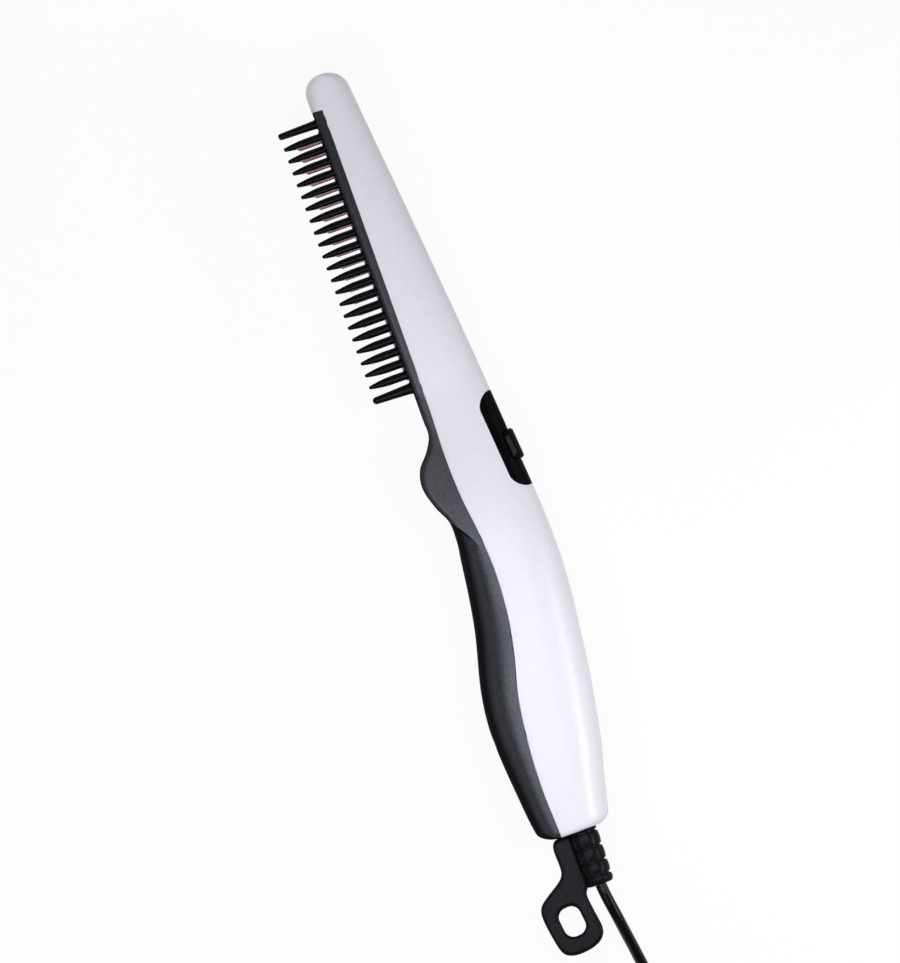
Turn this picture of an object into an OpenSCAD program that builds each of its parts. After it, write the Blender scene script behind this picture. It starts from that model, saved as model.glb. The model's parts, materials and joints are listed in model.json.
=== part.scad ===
// Hot comb: an electric straightening comb with a slide switch and a mains cord.
// X runs along the body from the cord end to the tip, Y from the back to the teeth,
// and Z across the width. It lies on its side, and Z = 0 is the surface it lies on.

/* [Body] */
// Length of the handle, from its end face to the foot of the finger stop
grip_len = 103; // [96:0.5:112]
// Length of the finger stop along the handle
stop_len = 29; // [26:0.5:33]
// Length of the neck between the finger stop and the comb guard
neck_len = 11.3; // [9:0.1:15]
// Length of the closed tip beyond the comb guard
tip_len = 10.7; // [9.5:0.1:13]
// Wall thickness of the shells
wall = 2; // [1.6:0.1:2.3]
// Half of the handle's greatest width
grip_half_w = 15.4; // [14.4:0.1:17]
// Half of the width at the end face
end_half_w = 12.6; // [11.5:0.1:13.5]
// Half of the width where the comb guard starts
head_half_w = 10.2; // [9.8:0.1:11.4]
// Half of the width where the comb guard ends
tip_half_w = 8.9; // [8.7:0.1:9.8]
// Corner radius of the end face
end_r = 3.5; // [2.5:0.1:4.5]
// Corner radius of the tip
tip_r = 5.8; // [4.5:0.1:6.4]
// How far the end face's edge is rounded across the width
end_edge = 1.6; // [1:0.1:3]
// How far the tip's edge is rounded across the width
tip_edge = 2.2; // [1.2:0.1:4]

/* [Outline] */
// Reach of the back from the comb's seat, at the end face
back_end = 9.7; // [9:0.1:11]
// Reach of the back at the waist
back_waist = 23.2; // [22:0.1:25]
// Reach of the back at the end of the finger stop
back_neck = 20.35; // [19.6:0.1:21.4]
// Reach of the back at the tip
back_tip = 9.8; // [9.4:0.1:11]
// Reach of the front at the end face
front_end = 13.3; // [12.5:0.1:14.3]
// Reach of the front at the belly of the grip
front_belly = 16.15; // [15.2:0.1:17.5]
// Reach of the front at the foot of the finger stop
front_foot = 5.95; // [5.2:0.1:6.8]
// Reach of the front at the top of the finger stop
front_stop = 10.45; // [9:0.1:12]
// Height of the seam above the comb's seat, at the end face
seam_end = 6.25; // [5.6:0.1:7]
// Depth of the seam below the comb's seat, at the waist
seam_waist = 2.2; // [1.5:0.1:3]
// Height of the white tip above the comb's seat
tip_front = 3.5; // [3.3:0.1:4.4]

/* [Comb] */
// Number of pointed teeth in a row
tooth_count = 21; // [18:1:24]
// Distance from one tooth to the next
tooth_pitch = 3.93; // [3.7:0.01:4.2]
// Thickness of a pointed tooth along the row
tooth_t = 2.55; // [2.2:0.05:2.8]
// Length of the pointed teeth
tooth_len = 12.4; // [10:0.1:14]
// Length of the two guard teeth
guard_len = 12.7; // [10.5:0.1:14.5]
// Width of a row of teeth across the comb
row_w = 2.6; // [2:0.1:3]
// Distance from the middle of the comb to a row of teeth
row_z = 5.4; // [5.2:0.1:5.8]
// Thickness of the comb guard's base strip
strip_h = 3.1; // [2.6:0.1:3.6]
// Length of the red fins above the heater deck
fin_len = 8.2; // [6:0.1:9.5]
// Thickness of a red fin
fin_t = 2.5; // [2:0.1:2.6]
// How far the fins stand towards the handle from the middles of the teeth
fin_lead = 0.3; // [0:0.05:0.4]

/* [Heater] */
// Thickness of the heater plate's flange
flange_t = 1.8; // [1.5:0.1:2]
// Thickness of a heating stone
ptc_t = 1.8; // [1.5:0.1:2]
// Width of a heating stone
ptc_w = 8; // [7:0.1:8.2]
// Number of heating stones
ptc_count = 3; // [2:1:3]
// Thickness of a mica sheet
mica_t = 0.3; // [0.2:0.05:0.35]
// Thickness of an electrode strip
strip_t = 0.3; // [0.2:0.05:0.35]
// Wall thickness of the heater tray
tray_wall = 1.2; // [1:0.1:1.3]
// Length of the thermal fuse
fuse_l = 12; // [10:0.5:14]

/* [Switch] */
// Distance from the foot of the finger stop to the middle of the panel
panel_from_foot = 19.6; // [19:0.1:22]
// Half length of the black panel on the back
panel_half_l = 16; // [15:0.1:17]
// Depth of the panel down the sides
panel_depth = 5.5; // [5:0.1:6.5]
// Thickness of the panel
panel_t = 1; // [0.8:0.1:1.1]
// Length of the switch knob
knob_l = 10; // [9:0.1:11]
// Height that the knob stands proud
knob_h = 1.35; // [1:0.05:1.8]
// Travel of the switch
knob_travel = 4.8; // [4:0.1:5]
// Thickness of the circuit board
board_t = 1.2; // [1:0.1:1.6]

/* [Cord] */
// Diameter of the cord
cord_d = 3.6; // [3.4:0.1:3.8]
// Length of the strain relief outside the body
relief_len = 18; // [16:0.5:20]
// Radius of the strain relief at the body
relief_r = 4.8; // [4.5:0.1:5]
// Thickness of the hanging loop
loop_t = 3.6; // [3:0.1:4.2]
// Diameter of the plug's pins
pin_d = 4; // [4:0.1:4.8]
// Length of the plug's pins
pin_len = 19; // [18:0.5:20]
// Distance between the plug's pins
pin_gap = 18.6; // [17.5:0.1:19]
// Width of the plug across its pins
plug_w = 35.3; // [33:0.1:37]
// Thickness of the plug
plug_t = 13.7; // [13:0.1:15]

/* [Hidden] */
$fn = 48;

white = [0.92, 0.92, 0.96];
charcoal = [0.2, 0.21, 0.23];
black = [0.07, 0.07, 0.08];
rose = [0.62, 0.2, 0.22];
steel = [0.75, 0.76, 0.78];
brass = [0.8, 0.66, 0.35];

// Clearances and overlaps
fit = 0.1;       // between pieces that seat in each other
slide_fit = 0.3; // round the knob and what it slides over
pilot = 0.03;    // round a screw's thread
shank_gap = 0.15; // round a screw's shank where it only passes through
root = 1;        // how far a boss or tooth is rooted in what carries it
cut = 1;         // how far a cut runs past a face

// Places along the body
end_margin = 3.9;  // from the comb guard's start to its guard tooth
tip_margin = 3.3;  // from the other guard tooth to the comb guard's end
guard_gap = 4.4;   // from a guard tooth to the pointed tooth next to it
stop_end = grip_len + stop_len;
comb_x0 = stop_end + neck_len;
tooth_x0 = comb_x0 + end_margin + guard_gap;
tooth_x1 = tooth_x0 + (tooth_count - 1) * tooth_pitch;
comb_x1 = tooth_x1 + guard_gap + tip_margin;
body_len = comb_x1 + tip_len;

// The origin stands under the middle of the comb and its hanging loop
eye_reach = 18.4;  // how far the hanging loop stands out beyond the relief
loop_reach = relief_len + eye_reach;
loop_top = 20.3;
origin_x = (body_len - loop_reach) / 2;
origin_y = (loop_top - back_waist) / 2;
module laid() {
    translate([-origin_x, -origin_y, grip_half_w]) children();
}

function mix(a, b, t) = a + (b - a) * t;
function smooth(t) = let (c = min(max(t, 0), 1)) c * c * (3 - 2 * c);
function power(v, e) = sign(v) * pow(abs(v), e);

// A smooth curve through points whose first values rise
function slope(p, i) = let (a = max(i - 1, 0), b = min(i + 1, len(p) - 1))
    (p[b][1] - p[a][1]) / (p[b][0] - p[a][0]);
function span(p, x, i = 0) = (i >= len(p) - 2 || x <= p[i + 1][0]) ? i : span(p, x, i + 1);
function curve(p, x) = let (i = span(p, x), h = p[i + 1][0] - p[i][0], t = (x - p[i][0]) / h)
    p[i][1] * (1 + 2 * t) * (1 - t) * (1 - t) + slope(p, i) * h * t * (1 - t) * (1 - t)
    + p[i + 1][1] * t * t * (3 - 2 * t) + slope(p, i + 1) * h * t * t * (t - 1);

// Outlines seen from the side, from the end face to the tip
back_line = [[0, -back_end], [0.13 * grip_len, -mix(back_end, back_waist, 0.23)],
             [0.24 * grip_len, -mix(back_end, back_waist, 0.45)],
             [0.5 * grip_len, -mix(back_end, back_waist, 0.78)], [0.83 * grip_len, -back_waist],
             [stop_end, -back_neck],
             [mix(stop_end, body_len, 0.41), -mix(back_neck, back_tip, 0.38)],
             [body_len, -back_tip]];
front_line = [[0, front_end - 1.6], [3, front_end], [0.14 * grip_len, mix(front_end, front_belly, 0.5)],
              [0.35 * grip_len, front_belly], [0.485 * grip_len, mix(front_belly, front_foot, 0.13)],
              [0.68 * grip_len, mix(front_belly, front_foot, 0.61)],
              [0.87 * grip_len, mix(front_belly, front_foot, 0.9)], [grip_len, front_foot],
              [grip_len + 0.24 * stop_len, mix(front_foot, front_stop, 0.58)],
              [grip_len + 0.5 * stop_len, front_stop],
              [grip_len + 0.69 * stop_len, mix(strip_h, front_stop, 0.82)],
              [grip_len + 0.84 * stop_len, mix(strip_h, front_stop, 0.33)],
              [stop_end, strip_h + 0.05], [stop_end + 4, strip_h], [comb_x1, strip_h]];
seam_line = [[0, seam_end], [0.15 * grip_len, seam_end + 0.55], [0.29 * grip_len, seam_end - 0.05],
             [0.44 * grip_len, mix(seam_end, -seam_waist, 0.23)],
             [0.56 * grip_len, mix(seam_end, -seam_waist, 0.6)],
             [0.68 * grip_len, mix(seam_end, -seam_waist, 0.88)], [0.82 * grip_len, -seam_waist],
             [0.95 * grip_len, -0.68 * seam_waist], [grip_len + 7, -0.1],
             [grip_len + 0.7 * stop_len, 0.4], [stop_end + 0.5 * neck_len, 0], [comb_x0, 0],
             [body_len, 0]];
width_line = [[0, end_half_w], [0.2 * grip_len, mix(end_half_w, grip_half_w, 0.6)],
              [0.45 * grip_len, grip_half_w - 0.2], [0.65 * grip_len, grip_half_w],
              [0.85 * grip_len, grip_half_w - 0.2], [grip_len, mix(grip_half_w, head_half_w, 0.2)],
              [grip_len + 0.6 * stop_len, mix(grip_half_w, head_half_w, 0.56)],
              [stop_end, mix(grip_half_w, head_half_w, 0.83)], [comb_x0, head_half_w]];

function back_y(x) = curve(back_line, x);
function front_y(x) = x < comb_x0 ? curve(front_line, x) : strip_h;
function seam_y(x) = x < comb_x0 ? curve(seam_line, x) : 0;
function comb_share(x) = (x - comb_x0) / (comb_x1 - comb_x0);
function half_w(x) = x < comb_x0 ? curve(width_line, x) : mix(head_half_w, tip_half_w, comb_share(x));

// How far a rounded corner of radius r pulls an outline in, at distance d from the end
function corner(d, r) = d < r ? r - sqrt(r * r - (r - max(d, 0)) * (r - max(d, 0))) : 0;
// The same at both ends of the body, for a surface that lies g inside the outer one
function ends_in(x, g) = corner(x - g, max(end_r - g, 0.5)) + corner(body_len - g - x, tip_r - g);
function edge_in(x, g) = corner(x - g, max(end_edge - g, 0.5))
    + corner(body_len - g - x, max(tip_edge - g, 0.5));

// Stations along the body: close together where an outline turns quickly
end_steps = [0, 0.2, 0.7, 1.7, 4.5];
tip_steps = [6.6, 4.2, 2.2, 1.1, 0.4, 0.1, 0];
grip_xs = concat([for (x = [9:7:grip_len - 14]) x], [for (i = [-10:2.4:stop_len + 3]) grip_len + i],
                 [comb_x0]);
comb_xs = [for (t = [0.25, 0.5, 0.75, 1]) mix(comb_x0, comb_x1, t)];
outer_xs = concat(end_steps, grip_xs);
inner_xs = concat([for (s = end_steps) wall + s], grip_xs, [comb_x0 + 1]);

// White form: full rounded sections, widest at the seam, lying g inside the outer surface
back_bow = 2.6;  // roundness of the back: 2 is an ellipse, more is squarer
front_bow = 3;   // roundness of the tip's front
white_sides = 32;
function white_mid(x) = x < comb_x1 ? seam_y(x)
    : (tip_front - back_tip) / 2 * pow((x - comb_x1) / tip_len, 2);
function white_front(x) = x < comb_x1 ? tip_front + 4 * min(1 - comb_share(x), 1)
    : tip_front - white_mid(x);
function white_ring(x, g) = let (c = white_mid(x), e = ends_in(x, g), w = half_w(x) - g - edge_in(x, g))
    [for (i = [0:white_sides - 1]) let (a = 360 * i / white_sides)
        cos(a) < 0
            ? [x, c + (c - back_y(x) - g - e) * power(cos(a), 2 / back_bow), w * power(sin(a), 2 / back_bow)]
            : [x, c + (white_front(x) - g - e) * power(cos(a), 2 / front_bow),
               w * power(sin(a), 2 / front_bow)]];
function white_xs(g) = concat([for (s = end_steps) g + s], grip_xs, comb_xs,
                              [for (s = tip_steps) body_len - g - s]);

// Grip form: half sections in front of the seam. They are round on the grip and flat-sided
// on the finger stop, and the two meet in a slanting crease.
grip_bow = 2.15;
stop_bow = 9;
crease_low = 0.9;   // where the crease meets the seam, as a share of the handle's length
crease_w = 2;       // length over which one side runs into the other
grip_sides = 16;
function crease_x(y) = mix(crease_low * grip_len, grip_len, (y + seam_waist) / (front_foot + seam_waist));
function grip_point(x, a, g, drop) = let (s = seam_y(x), e = ends_in(x, g),
        depth = front_y(x) - g - e - s, w = half_w(x) - g - edge_in(x, g), lift = sin(a),
        y_round = s + depth * pow(lift, 2 / grip_bow),
        bow = mix(grip_bow, stop_bow, smooth((x - crease_x(y_round)) / crease_w)))
    lift < 0.001 ? [x, s - drop, w * cos(a)]
        : [x, s + depth * pow(lift, 2 / bow), w * power(cos(a), 2 / bow)];
function grip_ring(x, g, drop) = [for (i = [grip_sides:-1:0])
    grip_point(x, 180 * i / grip_sides, g, drop)];

// A closed solid through rings of points, each ring in a plane of its own
module loft(rings) {
    n = len(rings[0]);
    m = len(rings);
    polyhedron(points = [for (r = rings) each r],
        faces = concat([[for (i = [0:n - 1]) i]], [[for (i = [n - 1:-1:0]) (m - 1) * n + i]],
            [for (j = [0:m - 2], i = [0:n - 1]) let (a = j * n + i, b = j * n + (i + 1) % n)
                [a, a + n, b + n]],
            [for (j = [0:m - 2], i = [0:n - 1]) let (a = j * n + i, b = j * n + (i + 1) % n)
                [a, b + n, b]]));
}

// Smooth curves through hand-set points, open or closed, and a round tube along one
function unit(v) = v / norm(v);
function blend(a, b, c, d, u) = 0.5 * (2 * b + (c - a) * u + (2 * a - 5 * b + 4 * c - d) * u * u
    + (3 * b - a - 3 * c + d) * u * u * u);
function open_curve(p, steps) = let (n = len(p)) [for (k = [0:(n - 1) * steps])
    let (i = min(floor(k / steps), n - 2))
        blend(p[max(i - 1, 0)], p[i], p[i + 1], p[min(i + 2, n - 1)], k / steps - i)];
function closed_curve(p, steps) = let (n = len(p)) [for (i = [0:n - 1], k = [0:steps - 1])
    blend(p[(i + n - 1) % n], p[i], p[(i + 1) % n], p[(i + 2) % n], k / steps)];
module sweep(p, r, steps = 2, sides = 8) {
    path = open_curve(p, steps);
    last = len(path) - 1;
    dirs = [for (i = [0:last]) unit(path[min(i + 1, last)] - path[max(i - 1, 0)])];
    loft([for (i = [0:last]) let (s = unit(cross([0, 0, 1], dirs[i])), u = cross(dirs[i], s))
        [for (k = [0:sides - 1]) let (a = 360 * k / sides) path[i] + r * (cos(a) * s + sin(a) * u)]]);
}

// Rods along X and Y, and blocks between two corners or centred across the body
module rod_x(x0, x1, r, r1 = -1) {
    translate([x0, 0, 0]) rotate([0, 90, 0]) cylinder(h = x1 - x0, r1 = r, r2 = r1 < 0 ? r : r1);
}
module rod_y(x, y0, y1, z, r) {
    translate([x, y0, z]) rotate([-90, 0, 0]) cylinder(h = y1 - y0, r = r);
}
module block(low, high) {
    translate(low) cube(high - low);
}
module bar(x0, x1, y0, y1, half) {
    block([x0, y0, -half], [x1, y1, half]);
}
// A pan-head screw along Y: its head rises from the seat and its shank goes the other way
module screw(x, seat, z, r, shank, head_r, head_h, up = 1) {
    head_end = seat + up * head_h;
    tip_end = seat - up * shank;
    difference() {
        union() {
            rod_y(x, min(seat, head_end), max(seat, head_end), z, head_r);
            rod_y(x, min(seat, tip_end), max(seat, tip_end), z, r);
        }
        // cross recess
        for (turn = [0, 90]) translate([x, head_end, z]) rotate([0, turn, 0])
            cube([head_r * 1.3, head_h, head_r * 0.35], center = true);
    }
}

// Shell screws go in from the front, through posts of the grip into bosses of the back
shell_screw_xs = [0.33 * grip_len, 0.93 * grip_len];
screw_r = 1.3;
screw_head_r = 2.4;
screw_head_h = 1.6;
screw_len = 11;
post_r = 3.7;
post_floor = 3;
boss_r = 3.1;
function post_y(x) = seam_y(x) - 2.2;       // where a grip post meets its boss
function seat_y(x) = post_y(x) + post_floor;

// Cord end: strain relief, cable and clamp, all on one axis along X
relief_y = -0.3;
relief_tip_r = 4.4;
relief_neck_r = 3.4;
relief_flange_r = 4.6;
relief_flange_t = 2;
groove_shares = [0.07, 0.336, 0.597, 0.833]; // places of the grooves along its length
groove_w = 0.6;
groove_depth = 0.55;
jacket_end = 21;
clamp_x = 15;
clamp_l = 5;
clamp_screw_z = 5.4;
clamp_boss_r = 2.1;
clamp_top = relief_y + cord_d / 2 + 1.6;
clamp_split = relief_y - 0.4;

// Switch frame: on the back under the panel, +X along the slide and +Y into the body
switch_x = grip_len + panel_from_foot;
tilt_span = 8;
switch_tilt = atan((back_y(switch_x + tilt_span) - back_y(switch_x - tilt_span)) / (2 * tilt_span));
module at_switch() {
    translate([switch_x, back_y(switch_x), 0]) rotate([0, 0, switch_tilt]) children();
}
function switch_point(u, v, z) = [switch_x + u * cos(switch_tilt) - v * sin(switch_tilt),
                                  back_y(switch_x) + u * sin(switch_tilt) + v * cos(switch_tilt), z];
knob_rest = -knob_travel / 2;      // where the knob stands at rest, towards the cord
knob_skirt = 2.4;                  // how far the knob reaches down the sides
stem_l = 2.6;
stem_half_w = 1.6;
slot_x0 = knob_rest - stem_l / 2 - slide_fit;
slot_x1 = knob_rest + stem_l / 2 + knob_travel + slide_fit;
slot_half_w = stem_half_w + slide_fit;
case_half_l = 9;
case_half_w = 4;
case_wall = 0.9;
case_y0 = wall + 0.9;
case_y1 = case_y0 + 6;
bridge_t = 1.2;
board_half_l = 15.5;
board_half_w = 6.6;
board_y0 = case_y1 + fit / 2;
board_y1 = board_y0 + board_t;
board_screw_x = 12.6;
board_boss_r = 2;
small_screw_r = 0.9;
stem_end = case_y0 + 2;

// Heater stack, from the flange down to the tray floor
deck_half_w = row_z - 0.3;
window_half_w = row_z - 0.1;
flange_half_w = row_z + 1.1;
deck_x0 = tooth_x0 - fin_lead - fin_t / 2 - 0.25;
deck_x1 = tooth_x1 + tooth_t / 2 + 0.5;
deck_top = strip_h + 0.35;
mica_y0 = -flange_t - mica_t;
stone_y1 = mica_y0 - strip_t;
stone_y0 = stone_y1 - ptc_t;
stack_y0 = stone_y0 - strip_t - mica_t;
spring_h = 1.1;
spring_t = 0.3;
tray_y1 = stack_y0 - spring_h;
tray_y0 = tray_y1 - tray_wall;
tray_gap = 0.2;
tray_half_w = ptc_w / 2 + tray_gap + tray_wall;
ear_half_w = 2.4;
ear_t = 1.5;
guard_boss_r = 2.2;
guard_boss_y = -1.9;
ear_y = guard_boss_y - fit / 2;
tray_screw_xs = [comb_x0 + 3, comb_x1 - 2.9];
tray_screw_r = 1;
tray_head_r = 1.8;
tray_head_h = 1.2;
tab_z = 3.3;
tab_half_w = 0.8;
tab_x = comb_x0 + 0.6;
fuse_r = 1.9;
fuse_x = deck_x0 + 10;
fuse_y = tray_y0 - fuse_r - fit / 2;
lead_r = 0.8;
tongue_l = 2;
tongue_t = 1.4;
tongue_half_w = 4;
tail_l = 5;
tail_half_w = 6;

// The space in front of the seam, up to the comb guard's end
module above_seam() {
    reach = 40;
    translate([0, 0, -reach / 2]) linear_extrude(reach)
        polygon(concat([[-cut, seam_end]], [for (x = outer_xs) [x, seam_y(x)]],
                       [[comb_x1, 0], [comb_x1, reach], [-cut, reach]]));
}

// The panel's outline from the side, grown by g
module panel_outline(g) {
    r = 5;
    x = panel_half_l - r;
    for (s = [-1, 1]) translate([s * x, panel_depth - r]) circle(r + g);
    translate([-x, -r]) square([2 * x, panel_depth + g + r]);
    translate([-panel_half_l - g, -r]) square([2 * (panel_half_l + g), panel_depth]);
}

// The surface of the back near the switch, g inside the outer one
module switch_skin(g) {
    loft([for (i = [-24:4:24]) white_ring(switch_x + i, g)]);
}
// A flat shape carried right across the body
module across() {
    translate([0, 0, -grip_half_w]) linear_extrude(2 * grip_half_w) children();
}
module knob_slot() {
    at_switch() bar(slot_x0, slot_x1, -cut, wall + cut, slot_half_w);
}

module white_shell() color(white) difference() {
    union() {
        difference() {
            loft([for (x = white_xs(0)) white_ring(x, 0)]);
            above_seam();
            difference() {
                loft([for (x = white_xs(wall)) white_ring(x, wall)]);
                // wall between the comb guard and the hollow tip
                bar(comb_x1, comb_x1 + wall, -fit, tip_front + cut, tip_half_w + cut);
            }
            // recess for the panel
            difference() {
                at_switch() across() panel_outline(fit);
                switch_skin(panel_t + fit / 2);
            }
        }
        for (x = shell_screw_xs) rod_y(x, back_y(x) + root, post_y(x) - fit / 2, 0, boss_r);
        for (s = [-1, 1]) rod_y(clamp_x, back_y(clamp_x) + 2.4 * root, clamp_split - fit / 2,
                                s * clamp_screw_z, clamp_boss_r);
        bar(clamp_x - clamp_l / 2, clamp_x + clamp_l / 2, back_y(clamp_x) + root,
            relief_y - cord_d / 2 - fit / 2, cord_d / 2);
        at_switch() for (s = [-1, 1])
            rod_y(s * board_screw_x, wall - 0.4, board_y0 - fit / 2, 0, board_boss_r);
        // ribs under the heater tray
        for (t = [0.42, 0.65, 0.88]) let (x = mix(deck_x0, deck_x1, t))
            bar(x - 0.6, x + 0.6, back_y(x) + root, tray_y0 - fit / 2, 3.2);
    }
    translate([0, relief_y, 0]) rod_x(-cut, wall + cut, relief_neck_r + fit / 2);
    for (x = shell_screw_xs) rod_y(x, seat_y(x) - screw_len - cut, seat_y(x), 0, screw_r + pilot);
    for (s = [-1, 1])
        rod_y(clamp_x, clamp_top - 9.5, clamp_top, s * clamp_screw_z, small_screw_r + pilot);
    at_switch() for (s = [-1, 1])
        rod_y(s * board_screw_x, board_y1 - 6.5, board_y1, 0, small_screw_r + pilot);
    knob_slot();
}

module grip_cover() color(charcoal) difference() {
    union() {
        difference() {
            loft([for (x = outer_xs) grip_ring(x, 0, 0)]);
            loft([for (x = inner_xs) grip_ring(x, wall, cut)]);
        }
        for (x = shell_screw_xs) rod_y(x, post_y(x), front_y(x) - root, 0, post_r);
    }
    for (x = shell_screw_xs) {
        rod_y(x, post_y(x) - cut, seat_y(x) + cut, 0, screw_r + 0.2);
        rod_y(x, seat_y(x), front_y(x) + cut, 0, screw_head_r + 0.2);
    }
}

// Half the thickness of a pointed tooth at a share t of its length
taper_from = 0.55;
function tooth_half(t) = tooth_t / 2 * (1 - 0.06 * t)
    * pow(1 - pow(max(t - taper_from, 0) / (1 - taper_from), 3), 0.77);
tooth_shares = [0, taper_from, 0.68, 0.78, 0.86, 0.92, 0.97];
module tooth_side() {
    polygon(concat([[-tooth_t / 2, -root]], [for (t = tooth_shares) [-tooth_half(t), t * tooth_len]],
                   [[0, tooth_len]],
                   [for (i = [len(tooth_shares) - 1:-1:0]) let (t = tooth_shares[i])
                       [tooth_half(t), t * tooth_len]],
                   [[tooth_t / 2, -root]]));
}
module guard_side(base, top) {
    polygon([[-base / 2, -root], [-top / 2, guard_len - top / 2], [top / 2, guard_len - top / 2],
             [base / 2, -root]]);
    translate([0, guard_len - top / 2]) circle(top / 2);
}

// A row of teeth on its rib, which lies in a rebate of the comb guard: s is 1 or -1, its side
rib_x0 = comb_x0 + 1.6;
rib_x1 = comb_x1 - 1.6;
lower_guard = [3.3, 2.1];  // thickness at the foot and at the top of the guard tooth near the handle
upper_guard = [2.45, 1.8]; // and of the one near the tip
module tooth_row(s) color(black)
    translate([0, strip_h, s * (row_z + row_w / 2) - row_w / 2]) {
        block([rib_x0, -root, 0], [rib_x1, 0, row_w]);
        for (i = [0:tooth_count - 1]) translate([tooth_x0 + i * tooth_pitch, 0, 0])
            linear_extrude(row_w) tooth_side();
        translate([comb_x0 + end_margin, 0, 0]) linear_extrude(row_w)
            guard_side(lower_guard[0], lower_guard[1]);
        translate([comb_x1 - tip_margin, 0, 0]) linear_extrude(row_w)
            guard_side(upper_guard[0], upper_guard[1]);
    }
module near_teeth() tooth_row(1);
module far_teeth() tooth_row(-1);

module comb_guard() color(black) difference() {
    union() {
        rotate([-90, 0, 0]) linear_extrude(strip_h)
            polygon([[comb_x0 + fit / 2, -head_half_w], [comb_x1 - fit / 2, -tip_half_w],
                     [comb_x1 - fit / 2, tip_half_w], [comb_x0 + fit / 2, head_half_w]]);
        for (x = tray_screw_xs) rod_y(x, guard_boss_y, root, 0, guard_boss_r);
        // tongue under the tip's wall, and tail inside the grip cover
        bar(comb_x1 - 2 * root, comb_x1 + tongue_l, -fit - tongue_t, -2 * fit, tongue_half_w);
        bar(comb_x1 - 2 * root, comb_x1 - root, -fit - tongue_t, root, tongue_half_w);
        bar(comb_x0 - tail_l, comb_x0 + root, fit, strip_h - wall - fit, tail_half_w);
    }
    bar(deck_x0 - 0.2, deck_x1 + 0.2, -cut, strip_h + cut, window_half_w);
    // rebates for the rows of teeth
    for (s = [-1, 1]) mirror([0, 0, (1 - s) / 2])
        block([rib_x0 - fit / 2, strip_h - root - fit / 2, window_half_w - fit / 2],
              [rib_x1 + fit / 2, strip_h + cut, row_z + row_w + fit / 2]);
    for (x = tray_screw_xs) rod_y(x, guard_boss_y - cut, 1.6, 0, tray_screw_r + pilot);
}

module heater_plate() color(rose) {
    difference() {
        union() {
            bar(deck_x0 - 0.6, deck_x1 + 0.6, -flange_t, -fit / 2, flange_half_w);
            bar(deck_x0, deck_x1, -flange_t, deck_top, deck_half_w);
        }
        // room for the guard's bosses
        for (x = tray_screw_xs) rod_y(x, -flange_t - cut, deck_top + cut, 0, guard_boss_r + fit);
    }
    for (i = [0:tooth_count - 1]) translate([tooth_x0 - fin_lead + i * tooth_pitch, 0, -deck_half_w])
        linear_extrude(2 * deck_half_w) {
            translate([-fin_t / 2, deck_top - root]) square([fin_t, fin_len + root - fin_t / 2]);
            translate([0, deck_top + fin_len - fin_t / 2]) circle(fin_t / 2);
        }
}

module heater_tray() color([0.86, 0.82, 0.7]) difference() {
    union() {
        bar(deck_x0 - 0.4, deck_x1 + 0.4, tray_y0, -flange_t - fit / 2, tray_half_w);
        bar(tray_screw_xs[0] - ear_half_w, deck_x0 + root, ear_y - ear_t, ear_y, ear_half_w);
        bar(deck_x1 - root, tray_screw_xs[1] + ear_half_w, ear_y - ear_t, ear_y, ear_half_w);
    }
    bar(deck_x0 + 0.8, deck_x1 - 0.8, tray_y1, 0, tray_half_w - tray_wall);
    for (x = tray_screw_xs) rod_y(x, tray_y0 - cut, 0, 0, tray_screw_r + shank_gap);
    for (x = tray_screw_xs) rod_y(x, ear_y, 0, 0, guard_boss_r + fit);
    // notches for the electrode tabs
    for (s = [-1, 1]) translate([0, 0, s * tab_z])
        bar(deck_x0 - cut, deck_x0 + cut, stone_y0 - 2 * strip_t, 0, tab_half_w + 0.2);
}

stack_x0 = deck_x0 + 1;
stack_x1 = deck_x1 - 1;
stack_half_w = tray_half_w - tray_wall - 0.1;

module ptc_stones() color([0.3, 0.3, 0.32]) {
    room = (stack_x1 - stack_x0) / ptc_count;
    for (i = [0:ptc_count - 1])
        bar(stack_x0 + i * room + 0.7, stack_x0 + (i + 1) * room - 0.7, stone_y0, stone_y1, ptc_w / 2);
}

module electrode_strips() color(brass) {
    for (s = [-1, 1]) {
        y0 = s > 0 ? stone_y1 : stone_y0 - strip_t;
        bar(stack_x0, stack_x1, y0, y0 + strip_t, ptc_w / 2 - 0.2);
        translate([0, 0, s * tab_z]) bar(tab_x, stack_x0 + root, y0, y0 + strip_t, tab_half_w);
    }
}

module mica_sheets() color([0.78, 0.7, 0.55]) {
    bar(stack_x0, stack_x1, mica_y0, mica_y0 + mica_t, stack_half_w);
    bar(stack_x0, stack_x1, stack_y0, stack_y0 + mica_t, stack_half_w);
}

module pressure_springs() color(steel) {
    room = (stack_x1 - stack_x0) / ptc_count;
    rise = spring_h - spring_t;
    for (i = [0:ptc_count - 1]) translate([stack_x0 + (i + 0.5) * room, tray_y1, -3])
        linear_extrude(6) polygon([[-9, 0], [-6, 0], [-2, rise], [2, rise], [6, 0], [9, 0], [9, spring_t],
                                   [6.2, spring_t], [2.2, spring_h], [-2.2, spring_h], [-6.2, spring_t],
                                   [-9, spring_t]]);
}

module thermal_fuse() color(steel) translate([0, fuse_y, 0]) {
    rod_x(fuse_x, fuse_x + fuse_l, fuse_r);
    rod_x(fuse_x - 3, fuse_x + fuse_l + 3, 0.5);
}

module tray_screws() color(steel) {
    for (x = tray_screw_xs) screw(x, ear_y - ear_t, 0, tray_screw_r, 4.6, tray_head_r, tray_head_h, -1);
}

module switch_panel() color(black) difference() {
    intersection() {
        difference() {
            switch_skin(0);
            switch_skin(panel_t);
        }
        at_switch() across() panel_outline(0);
    }
    knob_slot();
}

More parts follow.
